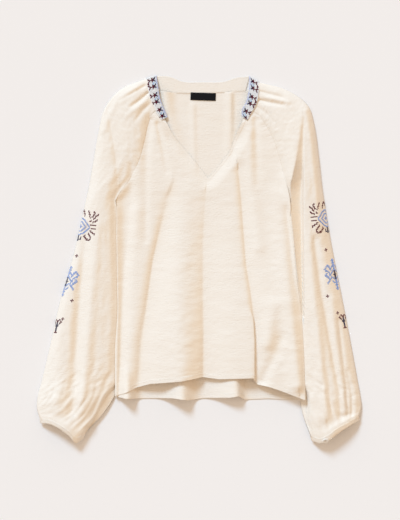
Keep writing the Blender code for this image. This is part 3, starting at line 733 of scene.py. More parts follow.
@dataclass(frozen=True)
class ThreadFinish:
    """Twisted cotton thread of one colour."""

    name: str
    colour: Colour

    def material(self) -> bpy.types.Material:
        """Makes the material.

        Returns:
            The material.
        """
        tree = ShaderTree(self.name)
        place = tree.node("ShaderNodeTexCoord").outputs["Object"]
        fine = tree.node("ShaderNodeVectorMath", {"operation": "SCALE"}, {0: place, "Scale": 900.0})
        tone = tree.noise(fine.outputs[0], detail=1.0)
        dark = tuple(c * 0.86 for c in self.colour)
        return tree.finish({
            "Base Color": tree.mix(tone, dark, self.colour),
            "Roughness": 0.7 + tone * 0.2,
            "Specular IOR Level": 0.1,
        })


@dataclass(frozen=True)
class LabelFinish:
    """Black satin weave with fine crosswise ribs."""

    name: str = "label_satin"
    colour: Colour = (0.007, 0.007, 0.008)

    def material(self) -> bpy.types.Material:
        """Makes the material.

        Returns:
            The material.
        """
        tree = ShaderTree(self.name)
        ribs = tree.noise(tree.cloth((3.0, 0.35)), detail=1.0)
        return tree.finish({
            # the raised rib tops are painted lighter than the hollows between them, a painted highlight
            "Base Color": tree.mix(ribs, self.colour, tuple(c * 2.2 for c in self.colour)),
            "Roughness": 0.6 + ribs * 0.15,
            "Normal": tree.bump(ribs, 0.08),
            "Specular IOR Level": 0.05,
        })


@dataclass(frozen=True)
class ButtonFinish:
    """Off-white moulded button with a faint pearly swirl."""

    name: str = "button_shell"
    colour: Colour = (0.86, 0.83, 0.78)

    def material(self) -> bpy.types.Material:
        """Makes the material.

        Returns:
            The material.
        """
        tree = ShaderTree(self.name)
        place = tree.node("ShaderNodeTexCoord").outputs["Object"]
        scaled = tree.node("ShaderNodeVectorMath", {"operation": "SCALE"}, {0: place, "Scale": 260.0})
        swirl = tree.noise(scaled.outputs[0], detail=3.0, distortion=2.0)
        return tree.finish({
            "Base Color": tree.mix(swirl, self.colour, (0.93, 0.92, 0.9)),
            "Roughness": 0.22 + swirl * 0.12,
            "Coat Weight": 0.3,
        })


@dataclass(frozen=True)
class FloorFinish:
    """Plain pale matte paper."""

    name: str = "floor_paper"
    colour: Colour = (0.9, 0.87, 0.85)

    def material(self) -> bpy.types.Material:
        """Makes the material."""
        tree = ShaderTree(self.name)
        return tree.finish({"Base Color": (*self.colour, 1.0), "Roughness": 0.9, "Specular IOR Level": 0.1})


CREPE = CrepeFinish().material()
WHITE = (0.93, 0.93, 0.93)
BAND_CLOTH = CrepeFinish("band_cloth", WHITE, WHITE, WHITE, 0.2, 0.1).material()


# Cloth meshes


@dataclass
class ClothGrid:
    """Middle surface of a cloth piece as rows of points, with its place on the flat cloth.

    Rows from joined_from on are closed rings, whose last point is the first one.
    """

    points: np.ndarray
    flat: np.ndarray
    joined_from: int | None = None
    faces: list[tuple[int, ...]] = field(default_factory=list)

    def __post_init__(self) -> None:
        """Works out the faces."""
        rows, columns = self.points.shape[:2]
        index = np.arange(rows * columns).reshape(rows, columns)
        if self.joined_from is not None:
            index[self.joined_from:, -1] = index[self.joined_from:, 0]
        a, b, c, d = index[:-1, :-1], index[:-1, 1:], index[1:, 1:], index[1:, :-1]
        self.faces = [tuple(q) for q in np.stack((a, b, c, d), axis=-1).reshape(-1, 4).tolist()]

    def normals(self) -> np.ndarray:
        """Unit normal at each point, facing out of the cloth's upper side.

        Returns:
            One normal for each point.
        """
        across, along = np.gradient(self.points, axis=1), np.gradient(self.points, axis=0)
        normal = np.cross(across, along)
        normal /= np.maximum(np.linalg.norm(normal, axis=2), 1e-9)[..., None]
        return normal * np.sign(normal[:, : normal.shape[1] // 2, 2].sum())

    def at(self, u: np.ndarray, v: np.ndarray) -> tuple[np.ndarray, np.ndarray]:
        """Reads the surface at places on the flat cloth.

        Args:
            u: Places across in mm.
            v: Places along in mm.

        Returns:
            The points and the unit normals there.
        """
        normals = self.normals()
        along = np.interp(v, self.flat[:, 0, 1], np.arange(len(self.flat)))
        row = np.clip(along.astype(int), 0, len(self.flat) - 2)
        share = (along - row)[:, None]
        read = []
        for r in (row, row + 1):
            column = np.array([np.interp(a, self.flat[i, :, 0], np.arange(self.flat.shape[1]))
                               for a, i in zip(u, r)])
            c = np.clip(column.astype(int), 0, self.flat.shape[1] - 2)
            part = (column - c)[:, None]
            read.append([values[r, c] * (1 - part) + values[r, c + 1] * part
                         for values in (self.points, normals)])
        point = read[0][0] * (1 - share) + read[1][0] * share
        normal = read[0][1] * (1 - share) + read[1][1] * share
        return point, normal / np.linalg.norm(normal, axis=1)[:, None]


def painted_shade_share(mesh: bpy.types.Mesh) -> np.ndarray:
    """How much warm painted shade each point of a cloth has.

    The painted shade is on slopes that face away from the key light, but for steep ones, and it is spread
    to the points beside.

    Args:
        mesh: The cloth.

    Returns:
        A share from 0 to 1 for each point.
    """
    normals = np.zeros(3 * len(mesh.vertices))
    mesh.vertex_normals.foreach_get("vector", normals)
    normals = normals.reshape(-1, 3)
    slope = normals @ PAINTED_SHADE_SIDE * np.sign(normals[:, 2])
    painted_shade = ease((slope - PAINTED_SHADE_FROM) / PAINTED_SHADE_RUN) * (1 - STEEP_LOSS * ease((slope - STEEP_FROM) / PAINTED_SHADE_RUN))
    ends = np.zeros(2 * len(mesh.edges), int)
    mesh.edges.foreach_get("vertices", ends)
    first, last = ends.reshape(-1, 2).T
    count = len(painted_shade)
    beside = np.bincount(ends, minlength=count)
    for _ in range(PAINTED_SHADE_ROUNDS):
        total = np.bincount(first, painted_shade[last], count) + np.bincount(last, painted_shade[first], count)
        painted_shade = (painted_shade + total) / (1 + beside)
    return painted_shade


def mesh_object(name: str, points: np.ndarray, faces: Sequence[Sequence[int]],
                material: bpy.types.Material, flat: np.ndarray | None = None) -> bpy.types.Object:
    """Smooth mesh object in the scene.

    Args:
        name: Name of the piece.
        points: Vertices in mm.
        faces: Vertex numbers of each face.
        material: Its finish.
        flat: Place of each vertex on the flat cloth in mm.

    Returns:
        The new object.
    """
    mesh = bpy.data.meshes.new(name)
    mesh.from_pydata((np.asarray(points) * MM).tolist(), [], list(faces))
    if flat is not None:
        cloth = mesh.attributes.new("cloth", "FLOAT_VECTOR", "POINT")
        # the third value of the cloth attribute is the share of warm painted shade
        cloth.data.foreach_set("vector", np.column_stack((flat, painted_shade_share(mesh))).ravel())
    mesh.validate()
    mesh.shade_smooth()
    mesh.materials.append(material)
    made = bpy.data.objects.new(name, mesh)
    bpy.context.collection.objects.link(made)
    return made


def clean_loose(made: bpy.types.Object) -> None:
    """Deletes the points that no face uses.

    Args:
        made: The piece.
    """
    used = np.zeros(len(made.data.vertices), bool)
    for face in made.data.polygons:
        used[list(face.vertices)] = True
    if used.all():
        return
    work = bmesh.new()
    work.from_mesh(made.data)
    bmesh.ops.delete(work, geom=[v for v in work.verts if not v.link_faces], context="VERTS")
    work.to_mesh(made.data)
    work.free()


def give_wall(made: bpy.types.Object, wall: float) -> None:
    """Gives a sheet its thickness in mm, half on each side.

    Args:
        made: The sheet.
        wall: Its thickness.
    """
    solid = made.modifiers.new("wall", "SOLIDIFY")
    solid.thickness = wall * MM
    solid.offset = 0.0
    shading = made.modifiers.new("shading", "WEIGHTED_NORMAL")
    shading.weight = 90


def dress(made: bpy.types.Object, slot: str, *nodes: str) -> bpy.types.Object:
    """Lets a piece ride on the blouse and lets it stand for its nodes.

    Args:
        made: The piece.
        slot: Its material slot; not used.
        nodes: Nodes that it replaces.

    Returns:
        The same piece.
    """
    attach(made, BODY)
    if nodes:
        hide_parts(*nodes)
    log.info("%s: %d faces", made.name, len(made.data.polygons))
    return made


@dataclass
class Stitches:
    """Short stitches of thread lying on cloth, made into one mesh."""

    name: str
    slot: str
    width: float = 0.75
    rise: float = 0.32
    sink: float = 0.12
    groups: list[tuple[np.ndarray, np.ndarray, np.ndarray, "ThreadFinish"]] = field(default_factory=list)

    def add(self, starts: np.ndarray, ends: np.ndarray, normals: np.ndarray, thread: ThreadFinish) -> None:
        """Adds stitches of one thread.

        Args:
            starts: Where each one goes in.
            ends: Where it comes out.
            normals: Upward normal of the cloth at each.
            thread: Their thread.
        """
        if len(starts):
            self.groups.append((np.asarray(starts), np.asarray(ends), np.asarray(normals), thread))

    def seam(self, points: np.ndarray, normals: np.ndarray, thread: ThreadFinish, pitch: float = 3.2,
             share: float = 0.72) -> None:
        """Adds a line of running stitches.

        Args:
            points: Points of the line.
            normals: Cloth normals at the points.
            thread: Its thread.
            pitch: Length of a stitch and its gap.
            share: Share of the pitch that the stitch covers.
        """
        run = run_length(points)
        count = max(int(run[-1] / pitch), 1)
        first = (np.arange(count) + 0.5 * (1 - share)) * run[-1] / count
        read = [np.column_stack([np.interp(first + step, run, values[:, i]) for i in range(3)])
                for values, step in ((points, 0.0), (points, share * run[-1] / count), (normals, 0.0))]
        self.add(read[0], read[1], read[2], thread)

    def build(self) -> bpy.types.Object:
        """Makes the mesh of all the stitches.

        Returns:
            The new object.
        """
        all_points, all_faces, kinds, materials = [], [], [], []
        base = 0
        for starts, ends, normals, thread in self.groups:
            way = ends - starts
            side = np.cross(way, normals)
            side /= np.maximum(np.linalg.norm(side, axis=1), 1e-9)[:, None]
            rings = [starts - normals * self.sink]
            for share, size, lift in STITCH_RINGS:
                middle = starts + way * share + normals * self.rise * lift
                for a, b in ((1, 0), (0, 1), (-1, 0), (0, -1)):
                    rings.append(middle + side * a * self.width * size / 2
                                 + normals * b * self.rise * size * 0.8)
            rings.append(ends - normals * self.sink)
            points = np.stack(rings, axis=1)
            faces = [(0, 1 + (i + 1) % 4, 1 + i) for i in range(4)]
            faces += [(1 + 4 * r + i, 1 + 4 * r + (i + 1) % 4, 5 + 4 * r + (i + 1) % 4, 5 + 4 * r + i)
                      for r in range(2) for i in range(4)]
            faces += [(13, 9 + i, 9 + (i + 1) % 4) for i in range(4)]
            each = points.shape[1]
            for k in range(len(points)):
                all_faces += [tuple(base + k * each + v for v in face) for face in faces]
            if thread not in materials:
                materials.append(thread)
            kinds += [materials.index(thread)] * (len(faces) * len(points))
            all_points.append(points.reshape(-1, 3))
            base += len(points) * each
        dressed = [thread.material() for thread in materials]
        made = mesh_object(self.name, np.concatenate(all_points), all_faces, dressed[0])
        for material in dressed[1:]:
            made.data.materials.append(material)
        made.data.polygons.foreach_set("material_index", kinds)
        return dress(made, self.slot)


@dataclass(frozen=True)
class Chart:
    """Cross-stitch chart: a letter for each cell, rows along the cloth, cell size in mm.

    Column 0 lies on the axis. A mirrored chart is worked on both sides of it, and only a chart with a
    ground has its white cells worked.
    """

    cells: tuple[str, ...]
    cell: float
    mirrored: bool = False
    ground: bool = False

    def work(self, stitches: Stitches, cloth: ClothGrid, start: Plan,
             width: Callable[[np.ndarray], np.ndarray] | None = None) -> None:
        """Works the chart on a cloth.

        Args:
            stitches: Where the stitches go.
            cloth: Cloth under them.
            start: Flat place of the outer corner of the first cell on the axis.
            width: Width of the cloth at each place along it, to leave out cells beyond it.
        """
        for thread in Thread:
            found = [(row, column) for row, line in enumerate(self.cells)
                     for column, letter in enumerate(line) if letter == thread.value]
            if not found or (thread is Thread.WHITE and not self.ground):
                continue
            row, column = np.array(found, float).T
            for turn in ((-1, 1) if self.mirrored else (1,)):
                u = start[0] + turn * column * self.cell
                v = start[1] + row * self.cell
                if width is not None:
                    inside = u + self.cell * CROSS_FIT <= width(v + self.cell / 2)
                    u, v = u[inside], v[inside]
                span_u, span_v = turn * self.cell * CROSS_SPAN, self.cell * CROSS_SPAN
                _, normal = cloth.at(u + span_u / 2, v + span_v / 2)
                for first, last in (((0, 0), (1, 1)), ((1, 0), (0, 1))):
                    begin, _ = cloth.at(u + first[0] * span_u, v + first[1] * span_v)
                    end, _ = cloth.at(u + last[0] * span_u, v + last[1] * span_v)
                    over = CROSS_OVER * (first[0] == 1)
                    stitches.add(begin + normal * over, end + normal * over, normal, THREADS[thread])


THREADS = {
    Thread.BURGUNDY: ThreadFinish("thread_burgundy", (0.13, 0.005, 0.022)),
    Thread.NAVY: ThreadFinish("thread_navy", (0.025, 0.022, 0.075)),
    Thread.BLUE: ThreadFinish("thread_blue", (0.31, 0.44, 0.79)),
    Thread.LILAC: ThreadFinish("thread_lilac", (0.68, 0.71, 0.9)),
    Thread.SKY: ThreadFinish("thread_sky", (0.55, 0.72, 0.92)),
    Thread.WHITE: ThreadFinish("thread_white", (0.96, 0.96, 0.96)),
}
SEWING = ThreadFinish("sewing_thread", (0.88, 0.82, 0.72))
LABEL_THREAD = ThreadFinish("label_thread", (0.02, 0.02, 0.022))

BAND_UNIT = (
    "l..........", "lln..b...b.", "l.nnbb..bb.", "l..nbbbbb..", "l.nnbb..bb.", "lln..b...bb",
    "ll.ss....bb", "lss.ss...b.", "lln.sb...bb", "l.nnbb..bb.", "l..nbbbbb..", "l.nnbb..bb.",
    "lln..b...b.", "l..........", "l..........", "...........",
)
BAND_CHART = Chart(BAND_UNIT * 3, 1.82, ground=True)
ROSETTE = Chart((
    "b....b....b....", "bb...bb...bb...", ".b....b....b..b", ".bb...bb..bb.bb", "..b....b..b.bb.",
    "..b....b.bb.b..", "........b..bb..", "aa.........b..b", ".aaa.....b...bb", "...aa...bb.bbb.",
    "aa..aa.....b...", ".aa..aa........", "..aa..aa.bbbbbb", "a..aa..aa......", "aa..aa..a......",
    "a..aa..aa.bbbbb", "..aa..aa.......", ".aa..aa..bb....", "aa..aa....bbb..", "...aa...b...bbb",
    ".aaa....bb....b", "aa...b...bb....", "n...bb....bb...", "n.n..bb....b...", "n.n...bbb.bb...",
    "nnn....bbbb....", "n..............",
), 2.25, True)
SPRIG = Chart((
    "a.........", "aa........", "a.........", "aa........", "a....aa...", "aa..aaaa..", "aaa.aa.aa.",
    "a.aaa...aa", "a..aa..aa.", "aa.a..aaa.", "naa..aa...", "n.aa.a.aa.", "n..aaa..aa", "nn..aa.aaa",
    "n...a.aaa.", "n.aaa.aa..", "naa.aaa...", "na...aa...", "a..a..aa..", "a.aa...aa.", "aaa.....a.",
    "a.........", "aa........", "a.........", "a.........", "aa........", "a.........",
), 2.25, True)
BUD = Chart((
    ".bb...", "bb.b..", "b..bb.", "n.bb..", "n.n...", "nn....", "nn....", "n.....", "n.....", "n.....",
    "n.....", "b.....", "bb....",
), 2.1, True)
DIAMOND = Chart((".b.", "bbb", ".b."), 2.2)


@dataclass(frozen=True)
class Motif:
    """Chart worked on a sleeve: where its first row is, as a plan y at the outer fold, and how far its axis
    is from that fold on the upper side. A pair is worked on both sides of the fold."""

    chart: Chart
    y: float
    from_fold: float
    pair: bool = False


LEFT_MOTIFS = (
    Motif(ROSETTE, 92, 2.5), Motif(DIAMOND, 8, 9.5, True), Motif(SPRIG, -15, 4),
    Motif(DIAMOND, -76, 27, True), Motif(DIAMOND, -112, 18, True), Motif(BUD, -116, 8),
)
RIGHT_MOTIFS = (
    Motif(ROSETTE, 108, 5), Motif(DIAMOND, 22, 18, True), Motif(SPRIG, 0, 8),
    Motif(DIAMOND, -65, 33, True), Motif(DIAMOND, -99, 20, True), Motif(BUD, -106, 9),
)


# Where the crepe is crimped most: centre and reach
CRIMPED = (((-20, -20), (20, 110)), ((-30, -170), (34, 70)), ((150, -180), (36, 60)), ((145, 0), (14, 60)))


def closer(count: int, focuses: Sequence[float], width: float, gain: float) -> np.ndarray:
    """Shares from 0 to 1 that lie closer together around some focuses.

    Args:
        count: Number of steps.
        focuses: Shares where they are closest.
        width: How far the effect reaches.
        gain: How much closer they get.

    Returns:
        The count + 1 shares.
    """
    grid = np.linspace(0.0, 1.0, 600)
    density = 1 + gain * sum(np.exp(-((grid - focus) / width) ** 2) for focus in focuses)
    run = np.concatenate(([0.0], np.cumsum((density[1:] + density[:-1]) / 2)))
    return np.interp(np.linspace(0.0, run[-1], count + 1), run, grid)


def rows_up(count: int) -> np.ndarray:
    """Shares of the way up from the hem, closest together at the turned hem."""
    return closer(count, (0.0,), 0.04, 4.0)


def follow_hem(plan: np.ndarray, hem: tuple[Plan, ...], body_rows: int) -> np.ndarray:
    """Bends the lowest rows of a plan so that the first one lies on the hem line.

    Args:
        plan: Rows of plan points from the hem up.
        hem: Points of the hem line from left to right.
        body_rows: Number of rows below the underarm.

    Returns:
        The same plan.
    """
    drop = np.interp(plan[0, :, 0], *zip(*hem)) - plan[0, :, 1]
    fade = 1.0 - ease(np.arange(len(plan)) / (HEM_BEND * body_rows))
    plan[..., 1] += fade[:, None] * drop[None, :]
    return plan


@dataclass
class FrontPanel:
    """Front of the blouse: two halves joined on the centre line up to the tip of the V.

    Its raglan edges lie just under those of the sleeves, and its top is tucked under the neck bands.
    """

    layout: Layout
    seams: dict[Side, np.ndarray]
    body_rows: int = 130
    raglan_rows: int = 80
    tip_row: int = 18
    tuck_rows: int = 4
    columns: dict[Side, int] = field(default_factory=lambda: {Side.LEFT: 76, Side.RIGHT: 88})
    close_at: dict[Side, tuple[float, ...]] = field(
        default_factory=lambda: {Side.LEFT: (0.0, 0.4, 1.0), Side.RIGHT: (0.0, 0.55, 1.0)})
    top_ways: dict[Side, tuple[Plan, Plan]] = field(
        default_factory=lambda: {Side.LEFT: ((8.0, 11.0), (-5.0, 12.0)),
                                 Side.RIGHT: ((-8.0, 19.0), (8.0, 14.0))})
    closeness: Pair = (0.08, 2.2)
    cloth_wall: float = 0.6
    ripple: Relief = Relief(0.32, (26.0, 9.0), 3)
    crinkle: Relief = Relief(1.0, (9.0, 4.2), 4)
    crinkle_least: float = 0.15
    crinkle_more: float = 0.5
    tuck: float = 1.4
    tuck_keep: float = 14.0
    tuck_fade: float = 20.0
    seam_reach: float = 11.0
    seam_under: float = 0.05
    seam_below: float = 4.0
    seam_dip: float = 0.08
    dip_at: float = 1.5
    dip_width: float = 1.6
    vee_run: float = 26.0
    vee_gap: float = 1.1
    vee_turn: float = 0.4
    vee_top: float = 220.0
    vee_fade: float = 40.0
    turn_width: float = 5.0
    turn_fade: float = 0.9
    hem_width: float = 7.0
    hem_rise: float = 0.35
    neck_height: float = 6.6
    edge_turns: Pair = (0.4, 1.5)
    flat: Pair = (0.44, 0.56)

    def half_plan(self, side: Side, stations: tuple[Station, ...]) -> np.ndarray:
        """Plan of one half, from the side seam to the centre line or the V.

        Args:
            side: Which half.
            stations: Table of that side's sleeve.

        Returns:
            Rows of plan points from the hem up.
        """
        layout = self.layout
        t = np.linspace(0.0, layout.underarm, self.raglan_rows + 1)
        raglan = curve([row.t for row in stations], [row.inner for row in stations], t)[::-1]
        raglan[:, 0] += side.value * self.tuck
        rise = rows_up(self.body_rows)
        hem_x = layout.side_x(np.array([layout.side_y[0]]), side)[0]
        hem_y = np.interp(hem_x, *zip(*layout.front_hem))
        low_y = hem_y + (raglan[0, 1] - hem_y) * rise
        low = np.stack((layout.side_x(low_y, side), low_y), axis=1)
        drop = low_y[-1] - low_y
        low[:, 0] += (raglan[0, 0] - low[-1, 0]) * ease(1 - (drop - self.tuck_keep) / self.tuck_fade)
        outer = np.concatenate((low[:-1], raglan))
        tip = np.asarray(layout.vee_left[0], float)
        centre_hem = np.interp(tip[0], *zip(*layout.front_hem))
        middle = tip[1] - (tip[1] - centre_hem) * self.tip_row / (self.body_rows + self.tip_row)
        lower = np.concatenate((centre_hem + (middle - centre_hem) * rise,
                                np.linspace(middle, tip[1], self.tip_row + 1)[1:]))
        centre = np.stack((np.full(len(lower), tip[0]), lower), axis=1)
        vee = layout.vee_left if side is Side.LEFT else layout.vee_right
        inner = np.concatenate((centre[:-1], spread(vee, self.raglan_rows - self.tip_row + 1)))
        s = closer(self.columns[side], self.close_at[side], *self.closeness)[None, :, None]
        plan = follow_hem(outer[:, None] * (1 - s) + inner[:, None] * s, layout.front_hem,
                          self.body_rows)
        at_raglan, at_vee = np.array(self.top_ways[side])
        way = at_raglan * (1 - s[0]) + at_vee * s[0]
        extra = [plan[-1] + way * k / self.tuck_rows for k in range(1, self.tuck_rows + 1)]
        return np.concatenate((plan, extra))

    def surface(self, plan: np.ndarray, side: Side) -> np.ndarray:
        """Middle points of the cloth over the plan of one half.

        Args:
            plan: Rows of plan points.
            side: Which half.

        Returns:
            Rows of points in space.
        """
        layout = self.layout
        x, y = plan[..., 0], plan[..., 1]
        height = layout.front_height(x, y) + self.ripple.at(x, y)
        crimped = sum(np.exp(-((x - at[0]) / wide[0]) ** 2 - ((y - at[1]) / wide[1]) ** 2)
                      for at, wide in CRIMPED)
        share = self.crinkle_least + self.crinkle_more * np.minimum(crimped, 1.0)
        height = height + share * self.crinkle.at(x, y)
        height = self.meet_sleeve(plan, height, side)
        height = self.drape_vee(x, y, height)
        from_hem = y - y[0][None, :]
        height += self.hem_rise * (1 - ease(from_hem - self.hem_width))
        height[:, 0] -= self.edge_turns[side is Side.RIGHT] * layout.below(y[:, 0])
        first = self.body_rows + self.raglan_rows - self.tuck_rows
        tucked = np.clip((np.arange(len(plan)) - first) / self.tuck_rows, 0, 1)[:, None]
        height = height * (1 - tucked) + np.minimum(height, self.neck_height) * tucked
        shift = sum(fold.shift(x, y) for fold in FRONT_FOLDS if fold.overhang)
        return np.dstack((x + shift, y, height))

    def meet_sleeve(self, plan: np.ndarray, height: np.ndarray, side: Side) -> np.ndarray:
        """Brings the raglan edge to the sleeve's edge, in a slight dip.

        Args:
            plan: Rows of plan points.
            height: Their heights.
            side: Which half.

        Returns:
            The new heights.
        """
        layout = self.layout
        passed = (np.arange(len(plan)) - self.body_rows) / self.raglan_rows
        t = layout.underarm * (1 - np.clip(passed, 0, 1))
        edge = self.seams[side]
        target = np.interp(t, edge[:, 0], edge[:, 1]) - self.seam_under
        share = (plan[:, 0, 1] > layout.below_arm - layout.below_run - self.seam_below).astype(float)
        gap = np.linalg.norm(plan - plan[:, :1], axis=2)
        rise = (share * (target - height[:, 0]))[:, None]
        height = height + rise * np.exp(-(gap / self.seam_reach) ** 2)
        dip = self.seam_dip * np.exp(-((gap - self.dip_at) / self.dip_width) ** 2)
        return height - (passed > 0)[:, None] * dip

    def drape_vee(self, x: np.ndarray, y: np.ndarray, height: np.ndarray) -> np.ndarray:
        """Lays the front on the back along the V and turns its edge.

        Args:
            x: Plan x of the points.
            y: Plan y of the points.
            height: Their heights.

        Returns:
            The new heights.
        """
        away = np.full(x.shape, np.inf)
        for vee in (self.layout.vee_left, self.layout.vee_right):
            away = np.minimum(away, np.abs(Fold("vee", vee, 1, 1, 0, 0).place(x, y)[0]))
        low = self.layout.back_height(x, y) + self.vee_gap
        share = (1 - ease(away / self.vee_run)) * (1 - ease((y - self.vee_top) / self.vee_fade))
        turned = self.vee_turn * (1 - ease((away - self.turn_width) / self.turn_fade))
        return height * (1 - share) + low * share + turned

    def build(self) -> bpy.types.Object:
        """Builds and dresses the panel with its hem and V stitching.

        Returns:
            The new object.
        """
        halves = {side: self.half_plan(side, stations)
                  for side, stations in ((Side.LEFT, SLEEVE_LEFT), (Side.RIGHT, SLEEVE_RIGHT))}
        grids = {side: ClothGrid(self.surface(plan, side)[:, :: -side.value],
                                 plan[:, :: -side.value]) for side, plan in halves.items()}
        left, right = grids[Side.LEFT], grids[Side.RIGHT]
        tip = self.body_rows + self.tip_row
        right.points[: tip + 1, 0] = left.points[: tip + 1, -1]
        offset, across = left.points.shape[0] * left.points.shape[1], left.points.shape[1]
        wide = right.points.shape[1]
        merged = {offset + r * wide: r * across + across - 1 for r in range(tip + 1)}
        faces = list(left.faces)
        faces += [tuple(merged.get(v + offset, v + offset) for v in face) for face in right.faces]
        points = np.concatenate([half.points.reshape(-1, 3) for half in (left, right)])
        flat = np.concatenate([half.flat.reshape(-1, 2) for half in (left, right)])
        made = mesh_object("front_panel", points, faces, CREPE, flat)
        clean_loose(made)
        give_wall(made, self.cloth_wall)
        dress(made, "crepe", "front")
        0.66 * self.flat[0] * self.flat[1]
        seams = Stitches("front_stitching", "crepe", *RUNNING)
        for side, grid in grids.items():
            normals = grid.normals()
            hem = int(np.searchsorted(grid.points[:, 0, 1], grid.points[0, 0, 1] + self.hem_width))
            lift = normals * self.cloth_wall / 2
            raised = grid.points + lift
            seams.seam(raised[hem], normals[hem], SEWING)
            column = -3 if side is Side.LEFT else 2
            seams.seam(raised[tip + 2: -self.tuck_rows, column], normals[tip + 2: -self.tuck_rows, column],
                       SEWING)
        seams.build()
        return made


@dataclass
class BackPanel:
    """Back of the blouse, its inside up: flat, with waves at the hem and raised side seams."""

    layout: Layout
    body_rows: int = 110
    raglan_rows: int = 60
    columns: int = 110
    neck_rows: int = 8
    cloth_wall: float = 0.6
    ripple: Relief = Relief(0.25, (24.0, 7.0), 9)
    hem_width: float = 7.0
    hem_rise: float = 0.3
    side_inset: float = 4.0
    inset_run: float = 30.0
    flat: Pair = (0.44, 0.62)

    def build(self) -> bpy.types.Object:
        """Builds and dresses the panel.

        Returns:
            The new object.
        """
        layout = self.layout
        bounds = []
        rise = rows_up(self.body_rows)
        for stations, side in ((SLEEVE_LEFT, Side.LEFT), (SLEEVE_RIGHT, Side.RIGHT)):
            t = np.linspace(0.0, layout.underarm, self.raglan_rows + 1)
            raglan = curve([row.t for row in stations], [row.back for row in stations], t)[::-1]
            hem_x = layout.side_x(np.array([layout.side_y[0]]), side)[0]
            hem_y = np.interp(hem_x, *zip(*layout.back_hem))
            low_y = hem_y + (raglan[0, 1] - hem_y) * rise
            inset = side.value * self.side_inset * ease((low_y - hem_y) / self.inset_run)
            low = np.stack((layout.side_x(low_y, side) - inset, low_y), axis=1)
            bounds.append(np.concatenate((low[:-1], raglan)))
        s = np.linspace(0.0, 1.0, self.columns + 1)[None, :, None]
        plan = follow_hem(bounds[0][:, None] * (1 - s) + bounds[1][:, None] * s, layout.back_hem,
                          self.body_rows)
        neck = np.interp(plan[-1, :, 0], *zip(*layout.back_neck)) - plan[-1, :, 1]
        plan[-self.neck_rows:, :, 1] += neck[None] * np.linspace(0.0, 1.0, self.neck_rows)[:, None]
        x, y = plan[..., 0], plan[..., 1]
        height = layout.back_height(x, y) + self.ripple.at(x, y) + self.ripple.depth
        height += self.hem_rise * (1 - ease(y - y[0][None, :] - self.hem_width))
        grid = ClothGrid(np.dstack((plan, height)), plan)
        made = mesh_object("back_panel", grid.points.reshape(-1, 3), grid.faces, CREPE, plan.reshape(-1, 2))
        give_wall(made, self.cloth_wall)
        dress(made, "crepe", "back")
        0.72 * self.flat[0] * self.flat[1]
        seams = Stitches("back_stitching", "crepe", *RUNNING)
        normals = grid.normals()
        middle = grid.points[:, self.columns // 2, 1]
        hem = int(np.searchsorted(middle, middle[0] + self.hem_width))
        seams.seam((grid.points + normals * self.cloth_wall / 2)[hem], normals[hem], SEWING)
        seams.build()
        return made


def bow_at(seam: np.ndarray, s: np.ndarray) -> np.ndarray:
    """How far a cuff seam departs from a straight line, read at each share of its width.

    Args:
        seam: Points of the seam.
        s: Shares to read.

    Returns:
        One plan offset for each share.
    """
    share = np.linspace(0.0, 1.0, len(seam))
    off = seam - (seam[0] * (1 - share[:, None]) + seam[-1] * share[:, None])
    return np.column_stack([np.interp(s, share, off[:, i]) for i in (0, 1)])


